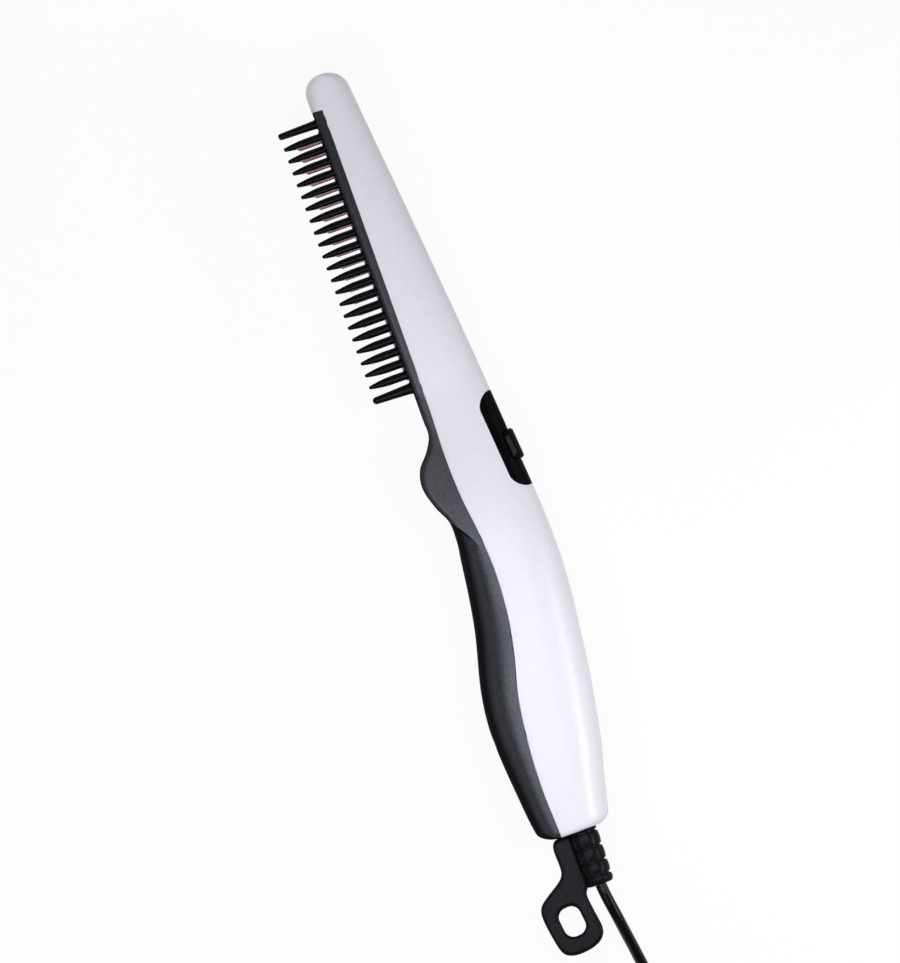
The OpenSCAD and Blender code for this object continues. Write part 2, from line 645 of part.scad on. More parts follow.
module switch_knob() color(black) {
    r = 1.9; // of the corners at the knob's lower edge
    intersection() {
        difference() {
            switch_skin(-knob_h);
            switch_skin(-slide_fit);
        }
        at_switch() translate([knob_rest, 0, 0]) across() {
            translate([-knob_l / 2, -knob_skirt]) square([knob_l, 2 * knob_skirt - r]);
            for (s = [-1, 1]) translate([s * (knob_l / 2 - r), knob_skirt - r]) circle(r);
            translate([-knob_l / 2 + r, 0]) square([knob_l - 2 * r, knob_skirt]);
        }
    }
    // hollow stem that takes the switch's own stem
    at_switch() difference() {
        bar(knob_rest - stem_l / 2, knob_rest + stem_l / 2, -0.7, case_y0 - slide_fit, stem_half_w);
        bar(knob_rest - 0.75, knob_rest + 0.75, wall - 0.5, case_y0, stem_half_w - 0.5);
    }
}

module switch_stem() color([0.9, 0.9, 0.86]) at_switch() {
    bar(knob_rest - 0.65, knob_rest + 0.65, wall - 0.4, stem_end, stem_half_w - 0.6);
    bar(knob_rest - 2.6, knob_rest + 2.6, case_y0 + case_wall + fit, stem_end + 1,
        case_half_w - case_wall - fit);
}

module contact_bridge() color(brass) at_switch()
    bar(knob_rest - 2, knob_rest + 2, stem_end + 1, stem_end + 1 + bridge_t, 1.6);

module switch_case() color([0.12, 0.12, 0.13]) at_switch() difference() {
    bar(-case_half_l, case_half_l, case_y0, case_y1, case_half_w);
    bar(-case_half_l + case_wall, case_half_l - case_wall, case_y0 + case_wall, case_y1 - case_wall,
        case_half_w - case_wall);
    bar(slot_x0, slot_x1, case_y0 - cut, case_y0 + 2 * case_wall, stem_half_w - 0.3);
    for (x = [-5, 0, 5]) bar(x - 0.7, x + 0.7, case_y1 - 2 * case_wall, case_y1 + cut, 1.1);
}

module switch_terminals() color(brass) at_switch() for (x = [-5, 0, 5])
    bar(x - 0.6, x + 0.6, stem_end + 1 + bridge_t + fit, board_y1 + 1, 1);

module switch_board() color([0.2, 0.42, 0.25]) at_switch() difference() {
    bar(-board_half_l, board_half_l, board_y0, board_y1, board_half_w);
    for (x = [-5, 0, 5]) bar(x - 0.7, x + 0.7, board_y0 - cut, board_y1 + cut, 1.1);
    for (s = [-1, 1]) rod_y(s * board_screw_x, board_y0 - cut, board_y1 + cut, 0, small_screw_r + shank_gap);
}

// A diode and a suppressor disc on the inner side of the board
module board_parts() color([0.15, 0.2, 0.45]) at_switch() {
    translate([0, board_y1 + 1.4, 4.4]) {
        rod_x(-4, 1.5, 1.35);
        rod_x(-6, 3.5, 0.35);
        for (x = [-6, 3.5]) rod_y(x, -1.35, 0.35, 0, 0.35);
    }
    translate([0, board_y1 + 3.6, -4.4]) {
        translate([0, 0, -1.1]) cylinder(h = 2.2, r = 3.2);
        for (x = [-2.2, 2.2]) rod_y(x, -3.55, -1.6, 0, 0.35);
    }
}

module board_screws() color(steel) at_switch() for (s = [-1, 1])
    screw(s * board_screw_x, board_y1, 0, small_screw_r, 5.5, 1.7, 1.1);

module shell_screws() color(steel) {
    for (x = shell_screw_xs) screw(x, seat_y(x), 0, screw_r, screw_len, screw_head_r, screw_head_h);
}

module cord_clamp() color(charcoal) difference() {
    bar(clamp_x - clamp_l / 2, clamp_x + clamp_l / 2, clamp_split, clamp_top,
        clamp_screw_z + clamp_boss_r);
    translate([0, relief_y, 0]) rod_x(clamp_x - clamp_l, clamp_x + clamp_l, cord_d / 2 + fit / 2);
    bar(clamp_x - clamp_l, clamp_x + clamp_l, clamp_split - cut, relief_y, cord_d / 2 + fit / 2);
    for (s = [-1, 1])
        rod_y(clamp_x, clamp_split - cut, clamp_top + cut, s * clamp_screw_z, small_screw_r + shank_gap);
}

module clamp_screws() color(steel) for (s = [-1, 1])
    screw(clamp_x, clamp_top, s * clamp_screw_z, small_screw_r, 8.5, 1.8, 1.1);

module inner_cable() color(black) translate([0, relief_y, 0]) rod_x(-relief_len, jacket_end, cord_d / 2);

// Cores and leads run beside the screw posts, and start or end where they are joined
sleeve_x = 0.56 * grip_len;
sleeve_l = 11;
sleeve_y = -3;
sleeve_z = -7.4;
module live_core() color([0.45, 0.25, 0.12])
    sweep([[jacket_end, relief_y, 0.9], [jacket_end + 4, relief_y - 0.2, 1.5], [jacket_end + 8, -1.6, 4.2],
           [0.33 * grip_len, -3, 7], [0.48 * grip_len, -6, 7.6], [0.66 * grip_len, -8, 7],
           [0.82 * grip_len, -10, 6.5], [0.93 * grip_len, -10.6, 6.4],
           switch_point(-board_half_l - 3, board_y1 + 2, 5.4),
           switch_point(-board_half_l + 1, board_y1 + lead_r + fit, 4.6),
           switch_point(-board_half_l + 4, board_y1 + lead_r + fit, 4.6)], lead_r);
module neutral_core() color([0.2, 0.35, 0.7])
    sweep([[jacket_end, relief_y, -0.9], [jacket_end + 4, relief_y - 0.2, -1.5], [jacket_end + 8, -1.2, -4.2],
           [0.33 * grip_len, -2, -7], [0.48 * grip_len, sleeve_y, sleeve_z],
           [sleeve_x - 3, sleeve_y, sleeve_z], [sleeve_x, sleeve_y, sleeve_z]], lead_r);
module splice_sleeve() color([0.8, 0.3, 0.2]) translate([0, sleeve_y, sleeve_z]) difference() {
    rod_x(sleeve_x - 2, sleeve_x + sleeve_l + 2, 1.8);
    rod_x(sleeve_x - 2 - cut, sleeve_x, lead_r + 0.15);
    rod_x(sleeve_x + sleeve_l, sleeve_x + sleeve_l + 2 + cut, lead_r + 0.15);
}
module heater_leads() color([0.9, 0.9, 0.88]) {
    // from the sleeve to the lower electrode's tab
    sweep([[sleeve_x + sleeve_l, sleeve_y, sleeve_z], [sleeve_x + sleeve_l + 3, sleeve_y, sleeve_z],
           [0.77 * grip_len, -4.4, sleeve_z],
           [0.87 * grip_len, -6, -7.2], [0.97 * grip_len, -7, -7.4], [grip_len + 8, -7, -7.8],
           [grip_len + 0.62 * stop_len, -6.4, -7.6], [stop_end, -6.4, -6],
           [comb_x0 - 5, stone_y0 - 1.6, -tab_z - 0.6],
           [comb_x0 - 1, stone_y0 - strip_t / 2, -tab_z], [tab_x, stone_y0 - strip_t / 2, -tab_z]], lead_r);
    // from the board to the far end of the fuse
    sweep([switch_point(board_half_l - 4, board_y1 + lead_r + fit, 4.6),
           switch_point(board_half_l - 1, board_y1 + lead_r + fit, 4.6),
           [comb_x0 + 2, fuse_y - 0.6, 4.4], [fuse_x, fuse_y - 0.4, 3.6],
           [fuse_x + fuse_l, fuse_y - 0.4, 3.6],
           [fuse_x + fuse_l + 4.5, fuse_y - 0.2, 3.2], [fuse_x + fuse_l + 6.2, fuse_y, 1.6],
           [fuse_x + fuse_l + 5, fuse_y, 0.2], [fuse_x + fuse_l + 3, fuse_y, 0]], lead_r);
    // from the near end of the fuse to the upper electrode's tab
    sweep([[fuse_x - 3, fuse_y, 0], [fuse_x - 6, fuse_y, 0.4], [comb_x0 + 3, fuse_y + 0.4, 3.2],
           [comb_x0 - 1.5, -6, tab_z + 0.4], [comb_x0 - 2.6, stone_y1 - 1, tab_z],
           [comb_x0 - 1.4, stone_y1 + strip_t / 2, tab_z], [tab_x, stone_y1 + strip_t / 2, tab_z]], lead_r);
}

// Hanging loop: a flat tab beside the strain relief that opens into an eye
loop_drawn = 36.4; // the reach that its points are drawn for
loop_points = [[-1.4, 3.6], [-0.3, 4.8], [-0.3, 7.8], [-1.2, 9.3], [-3.4, 10], [-9, 9.9], [-11.6, 10.5],
               [-13.6, 12.6], [-16.6, 17.2], [-18.8, 19.6], [-22, loop_top], [-28, 19.6], [-33.4, 18.4],
               [-35.6, 16.6], [-36.4, 13.2], [-35.8, 8.4], [-34, 5], [-30.8, 3.6], [-25, 4.3],
               [-19.6, 4.8], [-16.4, 3.4], [-8, 3.6]];
loop_shift = loop_drawn - loop_reach; // the loop's eye moves with the relief's length
eye_start = -13;                // beyond this the loop's outline belongs to the eye
eye_x = -26;
eye_y = 11.9;
eye_l = 9.6;
eye_w = 7.2;
eye_r = 2.9;
eye_tilt = 7;
vent_r = 0.6;
vent_share = 0.481;             // place of the vent along the relief's length
vent_at = 2.8;                  // from the relief's axis to the vent through one of its ribs
module eye_outline() {
    x = eye_l / 2 - eye_r;
    y = eye_w / 2 - eye_r;
    square([2 * x, eye_w], center = true);
    square([eye_l, 2 * y], center = true);
    for (s = [-1, 1], t = [-1, 1]) translate([s * x, t * y]) circle(eye_r);
}
module strain_relief() color(black) {
    difference() {
        union() {
            translate([0, relief_y, 0]) {
                difference() {
                    rod_x(-relief_len, -fit, relief_tip_r, relief_r);
                    for (t = groove_shares) translate([-t * relief_len, 0, 0]) difference() {
                        rod_x(-groove_w / 2, groove_w / 2, relief_r + cut);
                        rod_x(-groove_w, groove_w, relief_tip_r - groove_depth);
                    }
                }
                rod_x(-cut, wall + 2 * fit, relief_neck_r);
                rod_x(wall + fit, wall + fit + relief_flange_t, relief_flange_r);
            }
            translate([0, 0, -loop_t / 2]) linear_extrude(loop_t) difference() {
                polygon(closed_curve([for (p = loop_points) p + [p[0] < eye_start ? loop_shift : 0, 0]], 3));
                translate([eye_x + loop_shift, eye_y]) rotate(eye_tilt) eye_outline();
            }
        }
        translate([0, relief_y, 0]) rod_x(-relief_len - cut, wall + 6, cord_d / 2 + 0.03);
        translate([-vent_share * relief_len, relief_y + vent_at, 0])
            cylinder(3 * relief_r, r = vent_r, center = true, $fn = 20);
    }
}

// Cord, laid from the relief's end on the surface: down to it, into the coil, and out to the plug
module cord_laid() {
    translate([-origin_x - relief_len, relief_y - origin_y, 0]) children();
}
lead_in = [[0, 0, grip_half_w], [-4, -0.4, 15.3], [-10, -1.3, 14.3], [-17, -2.3, 11.4], [-24, -3.3, 7.4],
           [-31, -4, 4], [-38.5, -3.3, 2.2], [-44, -1, 1.8], [-48.5, 2.4, 1.8], [-51.6, 6.3, 1.8]];
lead_out = [[-82.2, 17.7, 12.8], [-89.5, 15.4, 12.8], [-96, 13.3, 12.4], [-102, 11, 11.3],
            [-107.5, 8.1, 9.4], [-112.5, 5.6, 7.8], [-117.5, 3.8, 7], [-122, 3.2, 6.9]];
coil_at = [-74, -7.6];
coil_r = 21.5;       // middle of the turns
coil_spread = 10.2;  // from the middle of the innermost turn to that of the outermost
coil_rows = 4;       // layers of turns on top of each other
turn_gap = cord_d + 0.05;
coil_half_w = (coil_spread + cord_d) / 2;
coil_h = coil_rows * turn_gap;
tie_t = 0.8;
tie_angle = 24;
tie_from = 210;
plug_tail_l = 13;
plug_body_l = 25;
plug_at = lead_out[len(lead_out) - 1];
plug_face = -plug_tail_l - plug_body_l;
plug_shoulder = 11;  // length over which the body narrows to its tail
sleeve_len = 10;     // insulated length of a pin
sleeve_gap = 0.1;    // between the end of the sleeve and the metal

module cord_tube() color(black) {
    sweep(lead_in, cord_d / 2);
    sweep(lead_out, cord_d / 2);
}

// Half a section of the coil, s inside its outer surface
module coil_section(s) {
    r = 1.4;
    translate([coil_r - coil_half_w + s, s]) {
        translate([0, r]) square([2 * (coil_half_w - s), coil_h - 2 * (r + s)]);
        translate([r, 0]) square([2 * (coil_half_w - s - r), coil_h - 2 * s]);
        for (x = [r, 2 * (coil_half_w - s) - r], y = [r, coil_h - 2 * s - r]) translate([x, y]) circle(r);
    }
}
module cord_coil() color(black) translate([coil_at[0], coil_at[1], fit / 2]) difference() {
    rotate_extrude() coil_section(0);
    rotate([0, 0, tie_from - 1]) rotate_extrude(angle = tie_angle + 2) difference() {
        translate([coil_r - coil_half_w - cut, -cut]) square([2 * (coil_half_w + cut), coil_h + 2 * cut]);
        coil_section(tie_t + fit);
    }
}
module cord_tie() color(charcoal) translate([coil_at[0], coil_at[1], fit / 2]) rotate([0, 0, tie_from])
    rotate_extrude(angle = tie_angle) difference() {
        coil_section(0);
        coil_section(tie_t);
    }

module plug_body() color(black) translate(plug_at) difference() {
    union() {
        rotate([0, 0, 180]) rod_x(0, plug_tail_l + 1, cord_d / 2 + 0.9, cord_d / 2 + 2.2);
        translate([plug_face, 0, -plug_t / 2]) linear_extrude(plug_t)
            polygon([[0, -plug_w / 2], [plug_body_l - plug_shoulder, -plug_w / 2], [plug_body_l - 3, -9],
                     [plug_body_l, -6], [plug_body_l, 6], [plug_body_l - 3, 9],
                     [plug_body_l - plug_shoulder, plug_w / 2], [0, plug_w / 2]]);
        for (s = [-1, 1]) translate([plug_face, s * pin_gap / 2, 0])
            rod_x(-sleeve_len, 1, pin_d / 2);
    }
    for (s = [-1, 1]) translate([plug_face, s * pin_gap / 2, 0]) rod_x(-sleeve_len - cut, 6, pin_d / 2 - 0.5);
}

module plug_pins() color(steel) translate(plug_at) for (s = [-1, 1])
    translate([plug_face, s * pin_gap / 2, 0]) {
        rod_x(-pin_len, -pin_len + 1, pin_d / 2 - 0.6, pin_d / 2);
        rod_x(-pin_len + 1, -sleeve_len - sleeve_gap, pin_d / 2);
        rod_x(-sleeve_len - 2 * sleeve_gap, 5.5, pin_d / 2 - 0.55);
    }

laid() white_shell();
laid() grip_cover();
laid() comb_guard();
laid() near_teeth();
laid() far_teeth();
laid() heater_plate();
laid() heater_tray();
laid() ptc_stones();
laid() electrode_strips();
laid() mica_sheets();
laid() pressure_springs();
laid() thermal_fuse();
laid() tray_screws();
laid() switch_panel();
laid() switch_knob();
laid() switch_stem();
laid() contact_bridge();
laid() switch_case();
laid() switch_terminals();
laid() switch_board();
laid() board_parts();
laid() board_screws();
laid() shell_screws();
laid() cord_clamp();
laid() clamp_screws();
laid() inner_cable();
laid() live_core();
laid() neutral_core();
laid() heater_leads();
laid() splice_sleeve();
laid() strain_relief();
cord_laid() cord_tube();
cord_laid() cord_coil();
cord_laid() cord_tie();
cord_laid() plug_body();
cord_laid() plug_pins();
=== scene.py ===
# Hot comb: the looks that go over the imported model. X runs from the cord end to the tip, Y from
# the back to the teeth, and Z up from the surface it lies on. Blender's lengths are metres; the
# body's outlines are millimetres from its end face (X), the comb's seat (Y) and its middle (Z).
import json
from itertools import product
from math import cos, exp, pi, radians, sin, sqrt

import bmesh
import bpy
import numpy as np
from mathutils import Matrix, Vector
from mathutils.geometry import interpolate_bezier


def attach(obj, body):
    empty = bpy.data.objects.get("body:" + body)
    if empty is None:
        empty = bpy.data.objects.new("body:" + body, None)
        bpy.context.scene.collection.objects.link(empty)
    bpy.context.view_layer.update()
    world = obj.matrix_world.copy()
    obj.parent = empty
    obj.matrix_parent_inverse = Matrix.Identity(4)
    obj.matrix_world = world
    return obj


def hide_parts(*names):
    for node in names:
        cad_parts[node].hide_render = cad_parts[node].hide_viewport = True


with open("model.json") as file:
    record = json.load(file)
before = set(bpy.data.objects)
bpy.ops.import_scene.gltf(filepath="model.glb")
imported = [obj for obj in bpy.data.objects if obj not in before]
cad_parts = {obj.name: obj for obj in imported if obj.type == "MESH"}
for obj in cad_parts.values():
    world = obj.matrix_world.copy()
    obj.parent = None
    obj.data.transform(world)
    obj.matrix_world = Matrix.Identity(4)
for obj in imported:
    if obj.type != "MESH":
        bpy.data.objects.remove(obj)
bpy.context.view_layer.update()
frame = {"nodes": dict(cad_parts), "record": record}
nodes = frame["nodes"]
mm = 0.001
print("model loaded,", len(nodes), "nodes")


# camera: straight above the comb, rolled so that its tip points up and to the left
camera = {"over": (0.0097, 0.00305), "height": 4.0, "subject": 0.0154, "lensPerMetre": 120.08,
          "roll": -109.7, "sensor": 36, "near": 0.01, "far": 30}


def addObject(name, data):
    data.name = name
    added = bpy.data.objects.new(name, data)
    bpy.context.scene.collection.objects.link(added)
    return added


def makeCamera():
    data = bpy.data.cameras.new("camera")
    data.lens = camera["lensPerMetre"] * (camera["height"] - camera["subject"])
    data.sensor_width = camera["sensor"]
    data.clip_start, data.clip_end = camera["near"], camera["far"]
    shot = addObject("camera", data)
    shot.location = (*camera["over"], camera["height"])
    shot.rotation_euler = (0, 0, radians(camera["roll"]))
    bpy.context.scene.camera = shot


def dress(piece, sharpFrom, slotName, *replaced, body="comb_body"):
    # shades a finished piece smooth but for its sharp edges, sets it on the body it moves with, and
    # hides the imported parts that it stands for
    piece.data.polygons.foreach_set("use_smooth", [True] * len(piece.data.polygons))
    piece.data.set_sharp_from_angle(angle=radians(sharpFrom))
    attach(piece, body)
    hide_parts(*replaced)
    return piece


def evaluatedMesh(drawn):
    # what a curve, or an object with modifiers, looks like as a plain mesh
    graph = bpy.context.evaluated_depsgraph_get()
    return bpy.data.meshes.new_from_object(drawn.evaluated_get(graph))


def eased(share):
    # runs from 0 to 1 with a soft start and a soft end
    return share * share * (3 - 2 * share)


# mains cord: out of the strain relief, down to the surface, round the coil and out to the plug
cord = {
    "thick": 0.0036, "around": 4, "between": 4,  # how finely its round and its bends are drawn
    "start": (-0.1241, 0.00115, 0),
    "leadIn": [(0, 0, 0.0154), (-0.004, -0.0004, 0.0153), (-0.01, -0.0013, 0.0143),
               (-0.017, -0.0023, 0.0114), (-0.024, -0.0033, 0.0074), (-0.031, -0.004, 0.004),
               (-0.0385, -0.0033, 0.0022), (-0.044, -0.001, 0.0018), (-0.0485, 0.0024, 0.0018)],
    "leadOut": [(-0.0895, 0.0154, 0.0128), (-0.096, 0.0133, 0.0124), (-0.102, 0.011, 0.0113),
                (-0.1075, 0.0081, 0.0094), (-0.1125, 0.0056, 0.0078), (-0.1175, 0.0038, 0.007),
                (-0.122, 0.0032, 0.0069)],
    "coilMiddle": (-0.074, -0.0076), "coilRadius": 0.0215, "coilSpread": 0.0102, "turnGap": 0.00365,
    "layers": 4, "wholeTurns": 12, "firstTurn": 35, "lastTurn": 108, "climb": 120, "step": 15,
    "tieAt": 222, "tieReach": 40, "tieFade": 25, "tieLift": 0.0009,  # angles are in degrees
}


def coilTurns(c):
    # layers wind inwards and outwards by turns, and the cord climbs to the next where one ends
    total = c["wholeTurns"] * 360 + c["lastTurn"] - c["firstTurn"]
    layerTurn = (total - (c["layers"] - 1) * c["climb"]) / c["layers"]
    count = round(total / c["step"])
    points = []
    for k in range(count + 1):
        turned = total * k / count
        layer = min(int(turned / (layerTurn + c["climb"])), c["layers"] - 1)
        inLayer = turned - layer * (layerTurn + c["climb"])
        share = min(inLayer / layerTurn, 1)
        inwards = share if layer % 2 == 0 else 1 - share
        radius = c["coilRadius"] + (0.5 - inwards) * c["coilSpread"]
        level = layer + eased(max(inLayer - layerTurn, 0) / c["climb"])
        angle = radians(c["firstTurn"] + turned)
        offTie = abs((c["firstTurn"] + turned - c["tieAt"] + 180) % 360 - 180)
        lift = c["tieLift"] * min(max((c["tieReach"] - offTie) / c["tieFade"], 0), 1)
        points.append((c["coilMiddle"][0] + radius * cos(angle),
                       c["coilMiddle"][1] + radius * sin(angle),
                       c["thick"] / 2 + level * c["turnGap"] + lift))
    return points


def makeCord():
    c = cord
    route = [Vector(p) + Vector(c["start"]) for p in c["leadIn"] + coilTurns(c) + c["leadOut"]]
    data = bpy.data.curves.new("mainsCord", "CURVE")
    data.dimensions = "3D"
    data.bevel_depth = c["thick"] / 2
    data.bevel_resolution = c["around"]
    data.resolution_u = c["between"]
    data.use_fill_caps = True
    spline = data.splines.new("BEZIER")
    spline.bezier_points.add(len(route) - 1)
    for spot, place in zip(spline.bezier_points, route):
        spot.co = place
        spot.handle_left_type = spot.handle_right_type = "AUTO"
    drawn = addObject("drawnCord", data)
    tube = evaluatedMesh(drawn)
    path = [route[0]]
    for a, b in zip(spline.bezier_points, spline.bezier_points[1:]):
        path += interpolate_bezier(a.co, a.handle_right, b.handle_left, b.co, c["between"] + 1)[1:]
    bpy.data.objects.remove(drawn)
    piece = dress(addObject("mainsCord", tube), 50, "cord_sheath", "cord_tube", "cord_coil")
    length = sum((b - a).length for a, b in zip(path, path[1:]))
    print(f"cord: {length:.3f} m")
    return piece, length, path


# the body's form, shared by the pieces that lie on it
form = {
    "origin": (-0.1061, 0.00145, 0.0154),
    "length": 248.6, "combStart": 143.3, "combEnd": 237.9, "tipFront": 3.5, "tipBack": 9.8,
    "endRadius": 3.5, "tipRadius": 5.8, "endEdge": 1.6, "tipEdge": 2.2, "backBow": 2.6, "tipBow": 3,
    "back": [(0, -9.7), (13.39, -12.8), (24.72, -15.78), (51.5, -20.23), (85.49, -23.2), (132, -20.35),
             (179.8, -16.34), (248.6, -9.8)],
    "front": [(0, 11.7), (3, 13.3), (14.42, 14.72), (36.05, 16.15), (49.96, 14.82), (70.04, 9.93),
              (89.61, 6.97), (103, 5.95), (109.96, 8.75), (116.7, 10.42), (122.4, 9.13), (126.75, 5.53),
              (131.2, 3.15), (136, 3.1), (237.9, 3.1)],
    "seam": [(0, 6.25), (15.45, 6.8), (29.87, 6.2), (45.32, 4.31), (57.68, 1.18), (70.04, -1.19),
             (84.46, -2.2), (97.85, -1.5), (110, -0.1), (123.3, 0.4), (137.65, 0), (143.3, 0),
             (248.6, 0)],
    "width": [(0, 12.6), (20.6, 14.28), (46.35, 15.2), (66.95, 15.4), (87.55, 15.2), (103, 14.36),
              (120.4, 12.49), (132, 11.08), (143.3, 10.2)],
    "headWidth": 10.2, "tipWidth": 8.9,
    "nearEnd": [0, 0.03, 0.1, 0.25, 0.5, 0.85, 1.3, 1.8, 2.4, 3.1, 4],  # rings round the end's edge
    "seamEdge": 0.18, "seamGap": 0.1,
}
filletStep = radians(30)  # from one point to the next of the rounding along the seam


def placed(points):
    return np.asarray(points, float) * mm + np.array(form["origin"])


def smoothCurve(points):
    # a curve that runs through the points, without a kink at any of them
    px, py = np.array(points, float).T
    spots = np.arange(len(px))
    after, before = np.minimum(spots + 1, len(px) - 1), np.maximum(spots - 1, 0)
    slope = (py[after] - py[before]) / (px[after] - px[before])

    def at(x):
        i = np.clip(np.searchsorted(px, x) - 1, 0, len(px) - 2)
        span = px[i + 1] - px[i]
        t = (x - px[i]) / span
        return (py[i] * (1 + 2 * t) * (1 - t) ** 2 + slope[i] * span * t * (1 - t) ** 2
                + py[i + 1] * t * t * (3 - 2 * t) + slope[i + 1] * span * t * t * (t - 1))
    return at


backAt, frontAt, seamAt = (smoothCurve(form[k]) for k in ("back", "front", "seam"))
handleWidthAt = smoothCurve(form["width"])


def widthAt(x):
    share = (x - form["combStart"]) / (form["combEnd"] - form["combStart"])
    return np.where(x < form["combStart"], handleWidthAt(np.minimum(x, form["combStart"])),
                    form["headWidth"] + (form["tipWidth"] - form["headWidth"]) * share)


def middleAt(x):
    # height of the widest line: the seam, and beyond the comb a line that drops to the tip's middle
    beyond = (x - form["combEnd"]) / (form["length"] - form["combEnd"])
    tipMiddle = (form["tipFront"] - form["tipBack"]) / 2
    return np.where(x < form["combEnd"], seamAt(x), tipMiddle * beyond ** 2)


def cornerIn(distance, radius):
    # how far a rounded corner lies inside the sharp one, at a distance from the end
    inside = np.clip(radius - np.maximum(distance, 0), 0, radius)
    return radius - np.sqrt(radius * radius - inside * inside)


def endsIn(x):
    return cornerIn(x, form["endRadius"]) + cornerIn(form["length"] - x, form["tipRadius"])


def edgesIn(x):
    # the same for the width, which is rounded less
    return cornerIn(x, form["endEdge"]) + cornerIn(form["length"] - x, form["tipEdge"])


def signedPower(value, exponent):
    return np.sign(value) * np.abs(value) ** exponent


def backPoint(x, turn, sunk):
    # a point of the white back, at an angle turn from its ridge and sunk so deep under the surface
    squeeze = 2 / form["backBow"]
    middle = middleAt(x)
    deep = middle - backAt(x) - sunk - endsIn(x)
    return np.stack([x + 0 * turn, middle - deep * np.abs(np.cos(turn)) ** squeeze,
                     (widthAt(x) - sunk - edgesIn(x)) * signedPower(np.sin(turn), squeeze)], -1)


# ways to make and to cut a mesh; sameSpot is how close two corners lie to become one
sameSpot = 1e-7


def solidMesh(points, faces, merge=0):
    # a closed mesh with its faces turned outwards
    data = bpy.data.meshes.new("solid")
    data.from_pydata(np.reshape(points, (-1, 3)).tolist(), [], faces)
    work = bmesh.new()
    work.from_mesh(data)
    if merge:
        bmesh.ops.remove_doubles(work, verts=work.verts, dist=merge)
    bmesh.ops.recalc_face_normals(work, faces=work.faces)
    work.to_mesh(data)
    work.free()
    return data


def finished(work, name):
    # what was drawn in work, as a mesh of that name
    data = bpy.data.meshes.new(name)
    work.to_mesh(data)
    work.free()
    return data


def roundEdges(work, edges, radius, segments):
    bmesh.ops.bevel(work, geom=edges, offset=radius, segments=segments, profile=0.5, affect="EDGES")


def ringFaces(rows, columns, closed=False):
    # faces from each ring of points to the next, and from the last to the first if closed
    return [[j * columns + i, j * columns + (i + 1) % columns,
             (j + 1) % rows * columns + (i + 1) % columns, (j + 1) % rows * columns + i]
            for j in range(rows if closed else rows - 1) for i in range(columns)]


def meshFromRings(rings):
    # a closed skin through rings of points that all have as many points, in metres
    rows, columns = rings.shape[:2]
    ends = [list(range(columns))[::-1], [(rows - 1) * columns + i for i in range(columns)]]
    return solidMesh(rings, ringFaces(rows, columns) + ends, sameSpot)


def blockMesh(points, low, high):
    # eight corners: points(u, v, z) turns the block's own lengths into the body's
    corners = [points(*spot) for spot in product(*zip(low, high))]
    faces = [(0, 1, 3, 2), (4, 6, 7, 5), (0, 4, 5, 1), (2, 3, 7, 6), (0, 2, 6, 4), (1, 5, 7, 3)]
    return solidMesh(placed(corners), faces)


def rodMesh(start, end, radius, sides=48):
    # a plain rod between two points, in metres
    start, end = Vector(start), Vector(end)
    work = bmesh.new()
    bmesh.ops.create_cone(work, cap_ends=True, segments=sides, radius1=radius, radius2=radius,
                          depth=(end - start).length)
    turn = Vector((0, 0, 1)).rotation_difference(end - start)
    for corner in work.verts:
        corner.co = turn @ corner.co + (start + end) / 2
    return finished(work, "rod")


def joined(name, parts):
    # several meshes in one
    work = bmesh.new()
    for part in parts:
        work.from_mesh(part)
    return finished(work, name)


def moved(data, offset):
    for corner in data.vertices:
        corner.co = corner.co + Vector(offset)
    return data


def settle(piece):
    # the piece's modifiers become its mesh
    data = evaluatedMesh(piece)
    piece.modifiers.clear()
    piece.data = data
    return data


def cutAway(piece, *cutters):
    for cutter in cutters:
        step = piece.modifiers.new("cut", "BOOLEAN")
        step.operation = "DIFFERENCE"
        step.solver = "EXACT"
        step.object = cutter
    settle(piece)
    for cutter in cutters:
        bpy.data.objects.remove(cutter)


# slide switch frame: on the back under the panel, u along the slide and v into the body
switch = {"x": 122.6, "tilt": 4.63279, "rest": -2.4,
          "slot": ((-4, -1, -1.9), (4, 3.2, 1.9)), "stem": ((-1.3, -0.6, -1.6), (1.3, 2.6, 1.6))}
switchX, switchY = switch["x"], float(backAt(switch["x"]))
slideCos, slideSin = cos(radians(switch["tilt"])), sin(radians(switch["tilt"]))


def switchPoint(u, v, z):
    return switchX + u * slideCos - v * slideSin, switchY + u * slideSin + v * slideCos, z


def slotCutter():
    # the slot that the stem slides in, through the panel and the shell
    return addObject("slotCutter", blockMesh(switchPoint, *switch["slot"]))


def skinPoint(u, turn, sunk):
    # the point of the back that lies u along the slide; its X depends a little on its depth
    x = switchX + u * slideCos
    for _ in range(4):
        point = backPoint(x, turn, sunk)
        v = (point[..., 1] - switchY) * slideCos - (point[..., 0] - switchX) * slideSin
        x = switchX + u * slideCos - v * slideSin
    return backPoint(x, turn, sunk), v


def reachOfSkin(u, depth):
    # how far round the back the surface runs until it lies depth below the ridge's tangent
    low, high = np.zeros_like(u), np.full_like(u, radians(85))
    for _ in range(24):
        middle = (low + high) / 2
        deeper = skinPoint(u, middle, 0)[1] < depth
        low, high = np.where(deeper, middle, low), np.where(deeper, high, middle)
    return (low + high) / 2


